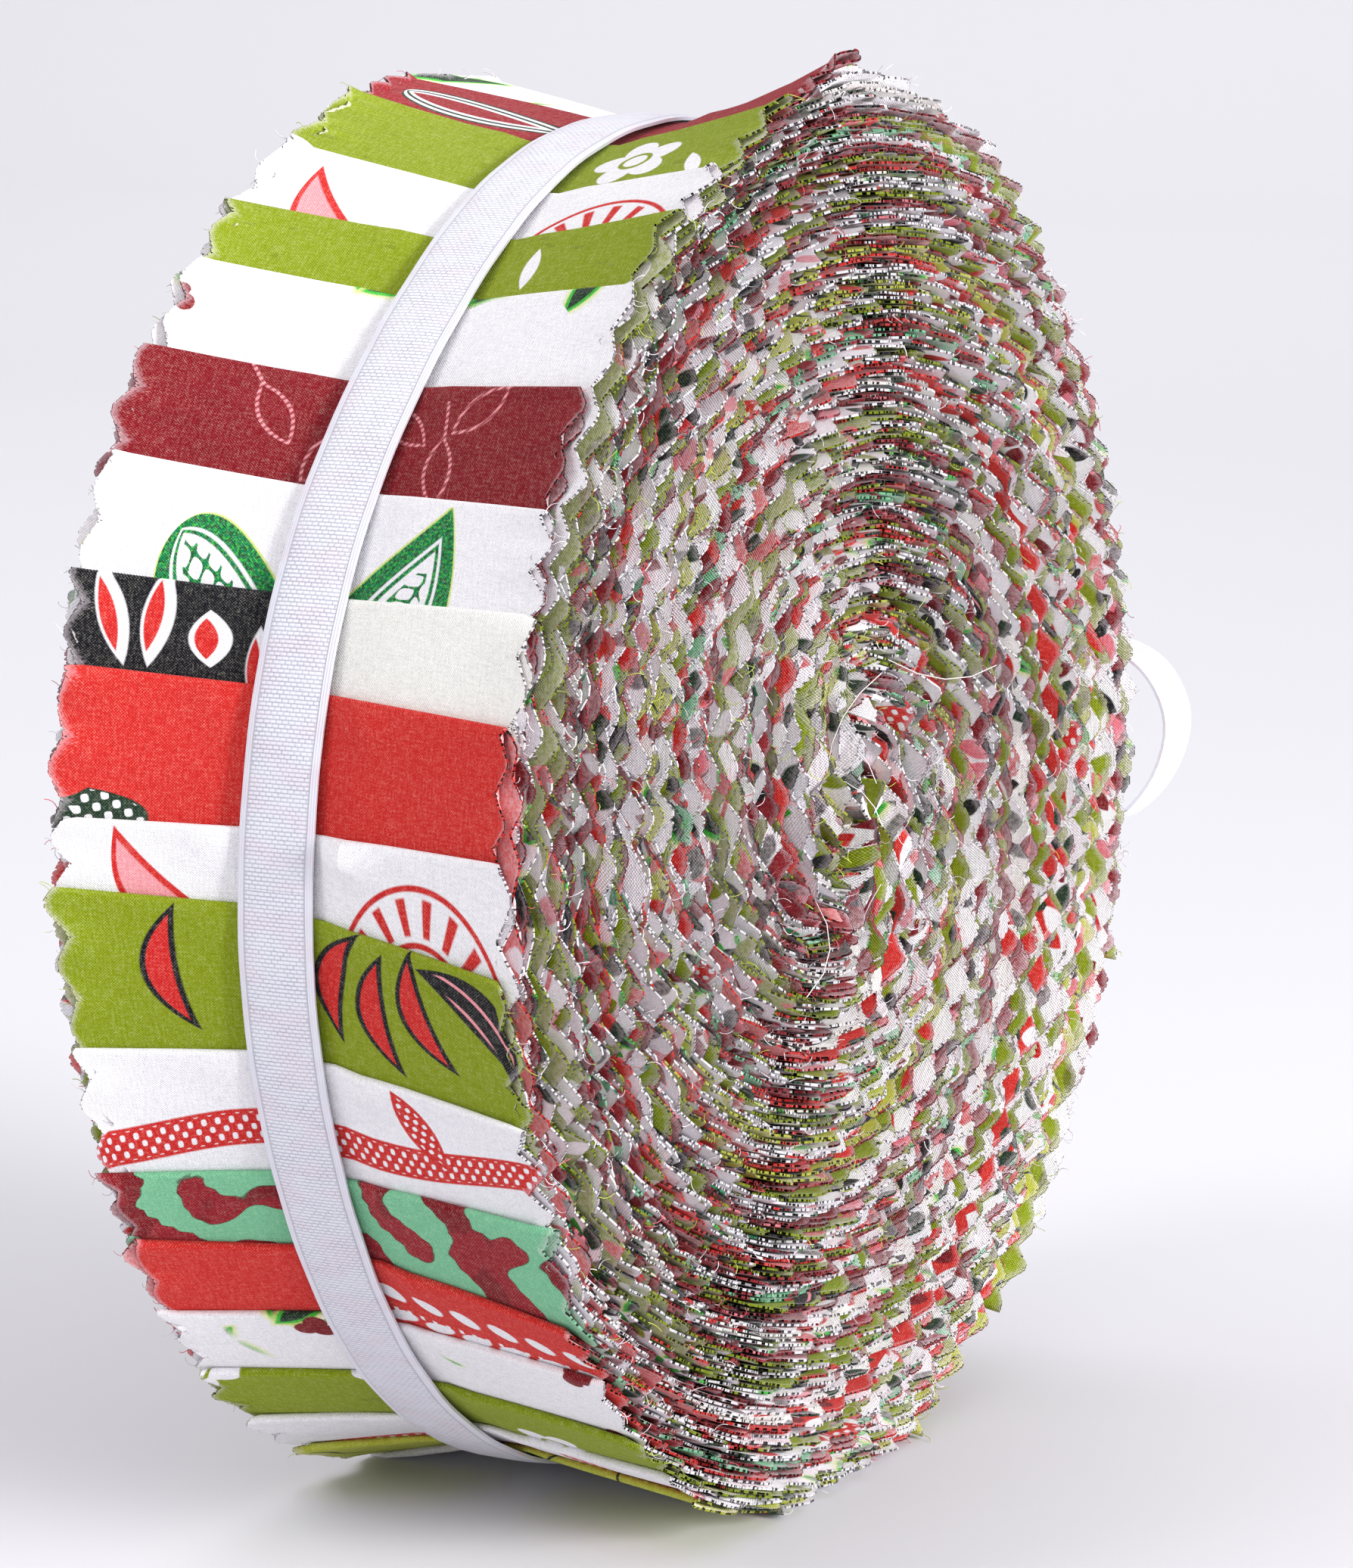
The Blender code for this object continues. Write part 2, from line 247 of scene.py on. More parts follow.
# %% Path of the ribbon round the roll
# Each row: angle up from the front in degrees, place of the ribbon's middle along the axis in mm.
RIBBON_PATH = (
    (-180.0, 0.0),
    (-130.0, -2.4),
    (-90.0, -5.2),
    (-60.0, -5.0),
    (-40.0, -4.4),
    (-20.0, -3.8),
    (0.0, -3.4),
    (15.0, -2.9),
    (28.0, -1.9),
    (42.0, -0.5),
    (60.0, 0.6),
    (90.0, 0.6),
    (180.0, 0.0),
)


def smooth_path(rows, steps):
    """Points on a smooth curve through the rows, `steps` of them between one row and the next."""
    rows = np.array(rows, float)
    last = len(rows) - 1
    out = []
    for k in range(last):
        a, b, c, d = rows[max(k - 1, 0)], rows[k], rows[k + 1], rows[min(k + 2, last)]
        for t in np.arange(steps) / steps:
            out.append(0.5 * (2 * b + (c - a) * t + (2 * a - 5 * b + 4 * c - d) * t * t
                              + (3 * b - a - 3 * c + d) * t ** 3))
    out.append(rows[last])
    return np.array(out)


path_angles, path_places = smooth_path(RIBBON_PATH, 6).T


def ribbon_place(angle):
    """Place of the ribbon's middle along the roll's axis, at this angle up from the front."""
    degrees = (math.degrees(angle) + 180.0) % 360.0 - 180.0
    return MM * float(np.interp(degrees, path_angles, path_places))


def waist_sag(angle):
    """How much fuller the waist is near the bottom, where the roll's weight presses it out."""
    return WAIST_SAG * max(0.0, -math.sin(angle)) ** 4


print("ribbon at the front:", round(1000 * ribbon_place(0.0), 1), "mm from the middle")

# %% [markdown]
# ## How deep a strip lies
# A strip sinks by one folded pair each time it passes under another strip's fold, so its depth is
# counted in strips. Near the rim the pairs are pressed tight, and further in they lie a little looser.
# With this spacing, strips of the usual 1.12 m (44 inches), folded in half, just reach the core.

# %% Length along a strip against its depth
LOOSE = 0.15 * MM
LOOSE_FROM = 6.0
DEPTHS = np.arange(0.0, 96.0, 0.02)


def sunk(depth):
    """How far under the rim's outermost cloth a strip lies at its edges."""
    return FOLDED_PAIR * depth + LOOSE * (depth - LOOSE_FROM * (1.0 - np.exp(-depth / LOOSE_FROM)))


def spacing(depth):
    """Distance between one folded pair and the next one."""
    return FOLDED_PAIR + LOOSE * (1.0 - np.exp(-depth / LOOSE_FROM))


FOLD_NUMBERS = np.arange(len(field["angle"]))


def angle_at(strip, depth):
    return np.interp(strip + depth, FOLD_NUMBERS, field["angle"])


def length_table(strip):
    """Length along the strip from its fold, for each of DEPTHS."""
    middle = EDGE_RADIUS - 0.25 * EDGE_FLARE - sunk(DEPTHS)
    turn = angle_at(strip, DEPTHS)
    round_axis = -np.diff(turn) * 0.5 * np.maximum(middle[1:] + middle[:-1], 0.0)
    return np.concatenate([[0.0], np.cumsum(np.hypot(round_axis, np.diff(sunk(DEPTHS))))])


core_depth = np.interp(0.5 * STRIP_LENGTH, length_table(0), DEPTHS)
print("a strip passes under", round(float(core_depth), 1), "folds and ends",
      round(1000 * float(EDGE_RADIUS - sunk(core_depth)), 1), "mm from the axis")

# %% [markdown]
# ## One strip, laid out flat
# A strip starts as a flat grid of points. Rows run across it, two at each tooth's blunt tip and one
# at each notch, and more where the cloth turns sharply: round its fold and near the core. Each point
# carries, as named attributes, all that the winding needs: its depth, its angle, and on which side of
# the pair it lies.
# The UV map is the flat cloth itself, in metres, so that print and weave keep their true size.

# %% Rows and columns of a strip
FOLD_BULGE = 0.42 * MM
FOLD_REACH = 0.66 * MM
BULGE_RUN = 1.6 * MM
NEAR_EDGE = 28.2 * MM
OUTER_COLUMNS = (-1.0, -NEAR_EDGE, -22.0 * MM, -15.0 * MM, -12.2 * MM, -PUCKER_AT, -7.8 * MM, -GROOVE_HALF,
                 GROOVE_HALF, 7.8 * MM, PUCKER_AT, 12.2 * MM, 15.0 * MM, 22.0 * MM, NEAR_EDGE, 1.0)
DEEP_COLUMNS = (-1.0, -NEAR_EDGE, -GROOVE_HALF, GROOVE_HALF, NEAR_EDGE, 1.0)
FINE_OUTSIDE = 24.0 * MM
FINE_INSIDE = 70.0 * MM
TIP_BLUNT = 0.55 * MM
TURN = 2.0 * math.pi
SLIPS = {1: 1.0 * MM, 3: 1.5 * MM, 8: 2.0 * MM, 11: 1.2 * MM, 13: -1.0 * MM}
SLIP_RUN = 7.0 * MM
CUT_SHORT = 0.009
END_MARGIN = 1.0 * MM
SWAY = 0.22 * MM
SWAY_WAVE = 19.0 * MM
GATHER_DIP_AT = 8.0 * MM
GATHER_DIP_RUN = 2.0 * MM
GATHER_FULL_AT = 2.6 * MM
GATHER_FULL_RUN = 2.4 * MM
POINT_FIELDS = ("across", "column", "side", "notch", "turn", "bend", "depth", "layer", "lift", "pucker",
                "strip", "tooth")


def tooth_wave(length):
    """Nearly 0 at a tooth's blunt tip and 1 at the notch between two teeth."""
    straight = np.abs((length / TOOTH_PITCH + 0.5) % 1.0 - 0.5) * 2.0
    return np.maximum(0.08, straight)


def strip_rows(phase, end_a, end_b):
    """Lengths from the fold at which rows of points cross the strip, from one cut end to the other."""
    first = math.ceil((-end_a - phase) / TOOTH_PITCH)
    last = math.floor((end_b - phase) / TOOTH_PITCH)
    out = []
    for i in range(first, last):
        tip = phase + TOOTH_PITCH * i
        out += [tip - TIP_BLUNT, tip + TIP_BLUNT, tip + 0.5 * TOOTH_PITCH]
    for a, b in zip(list(out), out[1:]):
        near_end = min(end_a + a, end_b - b) < FINE_INSIDE
        near_fold = min(abs(a), abs(b)) < FINE_OUTSIDE
        if near_fold and b - a > 2.0 * TIP_BLUNT:
            out += [a + (b - a) * t for t in (0.33, 0.67)]
        elif near_end and b - a > 2.0 * TIP_BLUNT:
            out.append(0.5 * (a + b))
    turn = [FOLD_REACH * t for t in (-1.0, -0.75, -0.5, -0.25, 0.0, 0.25, 0.5, 0.75, 1.0)]
    clear = 1.25 * FOLD_REACH
    return np.array(sorted([s for s in out if abs(s) > clear] + turn))


def flat_strip(strip, print_shift, rng):
    """Points, faces and UVs of one strip, with the attributes that wind it."""
    phase = TOOTH_PITCH * rng.random()
    short = 0.0 if strip % 5 == 2 else CUT_SHORT
    ends = [0.5 * STRIP_LENGTH - END_MARGIN - short * rng.random() for _ in range(2)]
    lengths = strip_rows(phase, *ends)
    table = length_table(strip)
    points = {name: [] for name in POINT_FIELDS}
    uvs, faces, previous = [], [], None
    wander = [rng.random() * TURN for _ in range(2)]
    slip = SLIPS.get(strip, 1.3 * MM * (2.0 * rng.random() - 1.0))
    for s in lengths:
        sign = 1.0 if s > 0.0 else -1.0
        far = abs(s)
        if far < FOLD_REACH:
            quarter = 0.5 * math.pi * far / FOLD_REACH
            along, off = FOLD_BULGE * (1.0 - math.cos(quarter)), FOLD_BULGE * math.sin(quarter)
        else:
            past = far - FOLD_REACH
            along, off = FOLD_BULGE + past, None
        depth = float(np.interp(along, table, DEPTHS))
        gap = 0.25 * float(spacing(depth))
        if off is None:
            off = gap + (FOLD_BULGE - gap) * math.exp(-(past / BULGE_RUN) ** 2)
        outer = far < FINE_OUTSIDE
        columns = OUTER_COLUMNS if outer else DEEP_COLUMNS
        notch = float(tooth_wave(s - phase))
        number = round((s - phase) / TOOTH_PITCH)
        turn = float(angle_at(strip, depth))
        place = ribbon_place(turn)
        gather = 0.3 - 0.35 * math.exp(-((far - GATHER_DIP_AT) / GATHER_DIP_RUN) ** 2)
        if sign > 0.0:
            gather += 1.25 * math.exp(-((far - GATHER_FULL_AT) / GATHER_FULL_RUN) ** 2)
        row = []
        for c in columns:
            edge = abs(c) == 1.0
            column = math.copysign(HALF_WIDTH, c) if edge else c
            follow = 1.0 - max(0.0, abs(column) - PUCKER_AT) / (NEAR_EDGE - PUCKER_AT)
            shift = place * max(0.0, follow)
            word = "right" if column > 0.0 else "left"
            spot = strip + depth
            lift, pucker, bend = (float(np.interp(spot, FOLD_NUMBERS, field[kind + word]))
                                  for kind in ("lift_", "pucker_", "bend_"))
            sway = SWAY * math.sin(s / SWAY_WAVE + wander[0] + wander[1] * (column > 0.0))
            row.append(len(uvs))
            beside = max(0.0, abs(column) - GROOVE_HALF) / (15.0 * MM - GROOVE_HALF)
            under = slip * min(1.0, far / SLIP_RUN) * min(1.0, beside) if sign < 0.0 else 0.0
            points["across"].append(column + shift + sway + under)
            points["column"].append(column + under)
            points["side"].append(math.copysign(1.0, column) if edge else 0.0)
            points["notch"].append(notch if edge else 0.0)
            points["turn"].append(turn)
            points["bend"].append(bend)
            points["depth"].append(depth)
            points["layer"].append(sign * off)
            points["lift"].append(lift * MM)
            points["pucker"].append(pucker * gather * MM)
            points["strip"].append(float(strip))
            points["tooth"].append(float(2000 * strip + 4 * number + (2 if edge and column > 0.0 else 0)))
            flat = math.copysign(HALF_WIDTH - TOOTH_DEPTH * notch, c) if edge else column + shift
            uvs.append((s - phase + print_shift, flat))
        if previous is not None:
            faces += strips_between(previous, row)
        previous = row
    return points, uvs, faces


def strips_between(before, after):
    """Faces between two rows, where one may have more points than the other."""
    if len(before) == len(after):
        return [(before[c], after[c], after[c + 1], before[c + 1]) for c in range(len(before) - 1)]
    few, many, swap = (before, after, False) if len(before) < len(after) else (after, before, True)
    stops = [OUTER_COLUMNS.index(c) for c in DEEP_COLUMNS]
    faces = []
    for c in range(len(few) - 1):
        run = many[stops[c]:stops[c + 1] + 1]
        face = (few[c], *run, few[c + 1])
        faces.append(tuple(reversed(face)) if swap else face)
    return faces


def flat_mesh(name, strips, rng):
    """All the strips of one fabric as one mesh of flat points with attributes and a UV map."""
    total = {field_name: [] for field_name in POINT_FIELDS}
    uvs, faces = [], []
    for strip, print_shift in strips:
        points, own_uvs, own_faces = flat_strip(strip, print_shift, rng)
        start = len(uvs)
        for key, values in points.items():
            total[key] += values
        uvs += own_uvs
        faces += [tuple(start + v for v in face) for face in own_faces]
    mesh = bpy.data.meshes.new(name)
    mesh.from_pydata([(u, v, 0.0) for u, v in uvs], [], faces)
    for key, values in total.items():
        layer = mesh.attributes.new(key, "FLOAT", "POINT")
        layer.data.foreach_set("value", np.array(values, np.float32))
    layer = mesh.uv_layers.new(name="cloth")
    corners = np.empty(len(mesh.loops), np.int32)
    mesh.loops.foreach_get("vertex_index", corners)
    layer.data.foreach_set("uv", np.array(uvs, np.float32)[corners].ravel())
    return mesh


# %% [markdown]
# ## Winding by rule, with Geometry Nodes
# The winding follows one rule for all forty strips, so one geometry tree does it. It reads each
# point's attributes and sets its place: out from the axis by the rim's radius less the depth, wider
# towards the edges where the ribbon lets the cloth flare, bent round the axis by its angle, flattened
# where the roll stands on the floor, and pressed to a slit at the core. Small random curls, from a
# fixed seed, keep the teeth from looking stamped.

# %% The winding tree
WINDING_SIZES = (
    ("Half width", HALF_WIDTH), ("Groove half", GROOVE_HALF), ("Edge radius", EDGE_RADIUS),
    ("Edge flare", EDGE_FLARE), ("Waist sag", WAIST_SAG), ("Flare fades over", 15.7),
    ("Folded pair", FOLDED_PAIR),
    ("Looser by", LOOSE), ("Loose from", LOOSE_FROM), ("Tooth depth", TOOTH_DEPTH),
    ("Tooth curl", 0.34 * MM), ("Rim curl", 0.4 * MM), ("Core curl", 1.7 * MM),
    ("Core from", 33.0 * MM), ("Strip shift", 0.6 * MM), ("Core shift", 2.2 * MM),
    ("Arm shift", 0.8 * MM), ("Squeeze radius", 36.0 * MM), ("Slit narrow", 0.55),
    ("Slit tall", 0.30), ("Core radius", 15.0 * MM), ("Core narrow", 0.45),
    ("Axis back", AXIS_BACK), ("Axis height", AXIS_HEIGHT), ("Floor clearance", 0.17 * MM),
)
HALF_PAIR = 0.5 * FOLDED_PAIR
PUCKER_REACH = 0.42 * PUCKER_AT
EDGE_TWIST = 0.35 * MM
DEEP_LOOSE_SHARE = 1.13
FLOOR_STEP = 0.66 * MM
FLOOR_PRESS = 0.635


def new_tree(name, sizes):
    """A geometry tree with named inputs for its sizes, a seed and a material."""
    tree = bpy.data.node_groups.new(name, "GeometryNodeTree")
    face = tree.interface
    face.new_socket("Geometry", in_out="INPUT", socket_type="NodeSocketGeometry")
    for label, value in sizes:
        face.new_socket(label, in_out="INPUT", socket_type="NodeSocketFloat").default_value = value
    face.new_socket("Seed", in_out="INPUT", socket_type="NodeSocketInt").default_value = 7
    face.new_socket("Material", in_out="INPUT", socket_type="NodeSocketMaterial")
    face.new_socket("Geometry", in_out="OUTPUT", socket_type="NodeSocketGeometry")
    start = tree.nodes.new("NodeGroupInput")
    end = tree.nodes.new("NodeGroupOutput")
    return tree, start, end


def attribute(tree, name):
    """A named float attribute as a wire."""
    node = tree.nodes.new("GeometryNodeInputNamedAttribute")
    node.data_type = "FLOAT"
    node.inputs["Name"].default_value = name
    return Wire(tree, node.outputs["Attribute"])


def chance(tree, low, high, number, seed):
    """A random number that is always the same for the same number and seed."""
    node = tree.nodes.new("FunctionNodeRandomValue")
    node.data_type = "FLOAT"
    sockets = [s for s in node.inputs if s.enabled]
    join(tree, low, sockets[0])
    join(tree, high, sockets[1])
    join(tree, number, node.inputs["ID"])
    join(tree, seed, node.inputs["Seed"])
    return Wire(tree, [s for s in node.outputs if s.enabled][0])


def end_tree(tree, geometry, start, end):
    """Close a tree with Realize Instances and Set Material."""
    real = tree.nodes.new("GeometryNodeRealizeInstances")
    paint = tree.nodes.new("GeometryNodeSetMaterial")
    tree.links.new(geometry, real.inputs["Geometry"])
    tree.links.new(real.outputs["Geometry"], paint.inputs["Geometry"])
    tree.links.new(start.outputs["Material"], paint.inputs["Material"])
    tree.links.new(paint.outputs["Geometry"], end.inputs["Geometry"])


def winding_tree():
    """Wind flat strips round the roll's axis."""
    tree, start, end = new_tree("wind_on_roll", WINDING_SIZES)
    size = {label: Wire(tree, start.outputs[label]) for label, _ in WINDING_SIZES}
    point = {name: attribute(tree, name) for name in POINT_FIELDS}
    seed = start.outputs["Seed"]
    depth, side = point["depth"], point["side"]

    near_rim = (1.0 - depth * 0.5).held()
    deep_radius = size["Edge radius"] - depth * size["Folded pair"] * DEEP_LOOSE_SHARE
    tangled = (1.0 - deep_radius / size["Core from"]).held()
    own_shift = size["Strip shift"] + size["Core shift"] * tangled
    shift = chance(tree, -1.0, 1.0, point["strip"], seed) * own_shift
    arms = (point["strip"] * (2.0 * math.pi * 3.0 / STRIPS)).calc("COSINE") * size["Arm shift"]
    ragged = chance(tree, 0.5 - 0.5 * tangled, 1.15 + 0.45 * tangled, point["tooth"] + 1.0, seed)
    trim = side * (1.0 - (1.0 - point["notch"]) * ragged) * size["Tooth depth"]
    fade = side.size() * 0.7 + 0.3
    x = point["across"] - trim + (shift + arms) * fade

    wide = point["column"].size()
    angle = point["turn"] + point["bend"] * wide / size["Half width"]
    fuller = size["Waist sag"] * (-angle.wave()).at_least(0.0).power(4.0)
    reach = ((wide - size["Groove half"]) / (size["Half width"] - size["Groove half"])).held()
    loose = depth - size["Loose from"] * (1.0 - (-depth / size["Loose from"]).calc("EXPONENT"))
    down = size["Folded pair"] * depth + size["Looser by"] * loose
    flare = (size["Edge flare"] - fuller) * (-depth / size["Flare fades over"]).calc("EXPONENT")
    shallow = (-depth * 0.45).calc("EXPONENT")
    lift = point["lift"] * reach * reach * shallow
    near = (1.0 - (wide - PUCKER_AT).size() / PUCKER_REACH).held()
    lift = lift + point["pucker"] * near * near * (3.0 - 2.0 * near) * shallow
    pressed = 0.63 + 0.37 * (reach * 3.0).at_most(1.0).at_least((depth / 12.0).held())
    curl = chance(tree, -1.0, 1.0, point["tooth"], seed) * side.size() * (1.0 - point["notch"])
    curl = curl * (size["Tooth curl"] + size["Rim curl"] * near_rim + size["Core curl"] * tangled)
    twist = chance(tree, -1.0, 1.0, point["tooth"] + 40000.0, seed) * side.size()
    twist = twist * (EDGE_TWIST + size["Core curl"] * tangled)
    radius = (size["Edge radius"] - (1.0 - reach) * flare - down - HALF_PAIR + lift + curl
              + point["layer"] * pressed)

    along = angle + twist / radius.at_least(2.0 * MM)
    y = -(radius * along.calc("COSINE"))
    z = radius * along.wave()

    blend = (1.0 - radius / size["Squeeze radius"]).at_least(0.0).power(1.5)
    core = (1.0 - radius / size["Core radius"]).at_least(0.0)
    y = y * (1.0 - size["Slit narrow"] * blend) * (1.0 - size["Core narrow"] * core)
    z = z * (1.0 + size["Slit tall"] * blend)

    stacked = (FLOOR_STEP * depth + FLOOR_PRESS * (0.5 * HALF_PAIR - point["layer"])).at_least(0.0)
    z = z.at_least(stacked + size["Floor clearance"] - size["Axis height"])

    place = tree.nodes.new("ShaderNodeCombineXYZ")
    join(tree, x, place.inputs["X"])
    join(tree, y + size["Axis back"], place.inputs["Y"])
    join(tree, z + size["Axis height"], place.inputs["Z"])
    move = tree.nodes.new("GeometryNodeSetPosition")
    tree.links.new(start.outputs["Geometry"], move.inputs["Geometry"])
    tree.links.new(place.outputs["Vector"], move.inputs["Position"])
    end_tree(tree, move.outputs["Geometry"], start, end)
    return tree


wind_on_roll = winding_tree()
print("winding tree:", len(wind_on_roll.nodes), "nodes")


# %% [markdown]
# ## From a tree or a modifier to a plain mesh
# A modifier's result is only there while the modifier is, and the export wants plain meshes. These
# helpers set a tree's inputs by their identifiers, read the evaluated mesh back and drop the modifier.
# `make_cloth` does the same with Solidify, which turns the thin sheet into cloth with a printed side, a
# reverse side and a cut edge all round. Where two faces meet at a sharp angle the edge stays crisp, and
# everywhere else the shading is smooth.

# %% Run a tree on a mesh and keep the plain result
def run_tree(obj, tree, material, seed=7, **sizes):
    """Put a tree on an object, set its inputs by identifier, and keep the result as a plain mesh."""
    modifier = obj.modifiers.new(tree.name, "NODES")
    modifier.node_group = tree
    wanted = {label.replace("_", " "): value for label, value in sizes.items()}
    wanted.update({"Seed": seed, "Material": material})
    for item in tree.interface.items_tree:
        if item.in_out == "INPUT" and item.name in wanted:
            modifier[item.identifier] = wanted[item.name]
    return settle(obj)


def settle(obj):
    """Replace an object's mesh by its evaluated one, and drop its modifiers."""
    depsgraph = bpy.context.evaluated_depsgraph_get()
    depsgraph.update()
    mesh = bpy.data.meshes.new_from_object(obj.evaluated_get(depsgraph), depsgraph=depsgraph)
    obj.modifiers.clear()
    obj.data = mesh
    mesh.name = obj.name
    return obj


def new_piece(name, mesh):
    """An object at the origin for a mesh whose place is in its points."""
    obj = bpy.data.objects.new(name, mesh)
    bpy.context.scene.collection.objects.link(obj)
    return obj


CREASE_ANGLE = math.radians(38.0)


def make_cloth(obj, thick, materials, rim=0):
    """Give a sheet its thickness: print outside, reverse inside and the raw cut all round."""
    obj.data.materials.clear()
    for material in materials:
        obj.data.materials.append(material)
    solid = obj.modifiers.new("thickness", "SOLIDIFY")
    solid.thickness = thick
    solid.offset = 0.0
    solid.material_offset = min(1, len(materials) - 1)
    solid.material_offset_rim = rim
    settle(obj)
    obj.data.polygons.foreach_set("use_smooth", np.ones(len(obj.data.polygons), bool))
    obj.data.set_sharp_from_angle(angle=CREASE_ANGLE)
    return obj


# %% [markdown]
# ## Drawing on the flat cloth
# Printed cotton is white cloth with ink pressed into one side. The print is drawn in a shader on the
# strip's own UV map, in millimetres of flat cloth, so a leaf keeps its size wherever the strip is
# wound. Every motif is a small formula that is positive inside the shape and gives, in millimetres,
# about how far inside. `over` turns that into a mask, and masks lay one ink over another. All the
# motifs are plain folk ones: leaves, blossoms, teardrops, fans, chains and dots.

# %% Inks and cloth coordinates
THREAD = 0.36


def colour(red, green, blue):
    """A screen colour from 0 to 255 as the linear colour that a shader wants."""
    out = []
    for channel in (red, green, blue):
        c = channel / 255.0
        out.append(c / 12.92 if c <= 0.04045 else ((c + 0.055) / 1.055) ** 2.4)
    return (*out, 1.0)


INK = {
    "white": colour(238, 236, 241), "ivory": colour(240, 239, 235), "lime": colour(131, 147, 8),
    "citron": colour(178, 184, 62), "olive": colour(100, 108, 22), "pale lime": colour(212, 224, 130),
    "red": colour(203, 34, 33), "coral": colour(205, 42, 38), "crimson": colour(122, 11, 26),
    "cherry": colour(146, 20, 36), "rose": colour(222, 118, 132), "pink": colour(236, 152, 160),
    "mint": colour(120, 190, 148), "emerald": colour(5, 120, 71), "bright green": colour(56, 180, 52),
    "dark green": colour(30, 54, 38), "black": colour(17, 16, 24), "navy": colour(34, 40, 78),
    "cloth back": colour(238, 225, 232), "pale thread": colour(228, 226, 208),
}


class Cloth:
    """A fabric's shader tree, with the place on the flat cloth in millimetres."""

    def __init__(self, name):
        self.material = bpy.data.materials.new(name)
        self.material.use_nodes = True
        self.tree = self.material.node_tree
        self.shader = self.tree.nodes["Principled BSDF"]
        uv = self.tree.nodes.new("ShaderNodeUVMap")
        uv.uv_map = "cloth"
        split = self.tree.nodes.new("ShaderNodeSeparateXYZ")
        self.tree.links.new(uv.outputs["UV"], split.inputs[0])
        self.u = Wire(self.tree, split.outputs["X"]) * 1000.0
        self.v = Wire(self.tree, split.outputs["Y"]) * 1000.0

    def vector(self, x, y):
        node = self.tree.nodes.new("ShaderNodeCombineXYZ")
        join(self.tree, x, node.inputs["X"])
        join(self.tree, y, node.inputs["Y"])
        return node.outputs["Vector"]

    def noise(self, size_u, size_v, detail=2.0, shift=0.0):
        """Soft noise from about 0 to 1, with blotches of this size in millimetres."""
        node = self.tree.nodes.new("ShaderNodeTexNoise")
        node.noise_dimensions = "2D"
        node.inputs["Scale"].default_value = 1.0
        node.inputs["Detail"].default_value = detail
        join(self.tree, self.vector(self.u / size_u + shift, self.v / size_v + 1.7 * shift),
             node.inputs["Vector"])
        return Wire(self.tree, node.outputs["Fac"])

    def cells(self, size, spread=0.8, shift=0.0):
        """Turned coordinates, in millimetres, round the nearest of many scattered centres,
        with a random number for that centre."""
        node = self.tree.nodes.new("ShaderNodeTexVoronoi")
        node.voronoi_dimensions = "2D"
        node.inputs["Scale"].default_value = 1.0
        node.inputs["Randomness"].default_value = spread
        spot = self.vector(self.u / size + shift, self.v / size + 1.3 * shift)
        join(self.tree, spot, node.inputs["Vector"])
        away = self.tree.nodes.new("ShaderNodeVectorMath")
        away.operation = "SUBTRACT"
        self.tree.links.new(spot, away.inputs[0])
        self.tree.links.new(node.outputs["Position"], away.inputs[1])
        local = self.tree.nodes.new("ShaderNodeSeparateXYZ")
        self.tree.links.new(away.outputs["Vector"], local.inputs[0])
        pick = self.tree.nodes.new("ShaderNodeSeparateColor")
        self.tree.links.new(node.outputs["Color"], pick.inputs[0])
        x, y = Wire(self.tree, local.outputs["X"]) * size, Wire(self.tree, local.outputs["Y"]) * size
        lean, pick_one = Wire(self.tree, pick.outputs[0]), Wire(self.tree, pick.outputs[1])
        return (*turned(x, y, lean * TURN), pick_one)

    def near(self, u, v, turn=0.0, every=300.0):
        """Coordinates round one chosen centre, repeated along the strip."""
        x = (self.u - u + 0.5 * every).calc("FLOORED_MODULO", every) - 0.5 * every
        y = self.v - v
        cos, sin = math.cos(turn), math.sin(turn)
        return x * cos + y * sin, y * cos - x * sin

    def lay(self, under, over, mask):
        """One ink over another where the mask says."""
        node = self.tree.nodes.new("ShaderNodeMix")
        node.data_type = "RGBA"
        sockets = [s for s in node.inputs if s.enabled]
        join(self.tree, mask, sockets[0])
        join(self.tree, under, sockets[1])
        join(self.tree, over, sockets[2])
        return [s for s in node.outputs if s.enabled][0]

    def scaled(self, ink, factor):
        """An ink made lighter or darker by a factor."""
        node = self.tree.nodes.new("ShaderNodeVectorMath")
        node.operation = "SCALE"
        join(self.tree, ink, node.inputs[0])
        join(self.tree, factor, node.inputs["Scale"])
        return node.outputs[0]


def turned(x, y, angle):
    cos, sin = angle.calc("COSINE"), angle.wave()
    return x * cos + y * sin, y * cos - x * sin


def leaf(x, y, long, wide):
    """A pointed leaf along x."""
    return wide * (1.0 - (x / long) * (x / long)) - y.size()


def teardrop(x, y, long, wide, bend=0.5):
    """A drop with a bent tip, as in paisley."""
    along = (x / long).at_most(1.0).at_least(-1.0)
    bent = y - bend * wide * along * along
    beyond = (x.size() - long).at_least(0.0)
    return wide * (1.0 - along) * (1.0 + along).power(0.5) * 0.75 - bent.size() - 2.0 * beyond


def blossom(x, y, petals, radius):
    """A round flower with notched petals."""
    around = y.calc("ARCTAN2", x)
    far = (x * x + y * y).power(0.5)
    return radius * (0.62 + 0.38 * (around * (0.5 * petals)).calc("COSINE").size()) - far


def ring(x, y, radius, wide):
    return wide - ((x * x + y * y).power(0.5) - radius).size()


def scatter(c, ink, tones, size, share, shift):
    """The print's small motifs in other inks, on the length of the strip that lies inside the roll."""
    x, y, pick = c.cells(size, 1.0, shift)
    inside = ((c.u + 600.0).calc("FLOORED_MODULO", 1200.0) - 600.0).size().over(27.0, 4.0)
    shape = leaf(x, y, 0.52 * size, 0.25 * size).over(0.0, 0.3) * inside
    for k, tone in enumerate(tones):
        low, high = share * k / len(tones), share * (k + 1) / len(tones)
        ink = c.lay(ink, INK[tone], shape * pick.over(low, 0.001) * (1.0 - pick.over(high, 0.001)))
    return ink


print("inks:", len(INK))

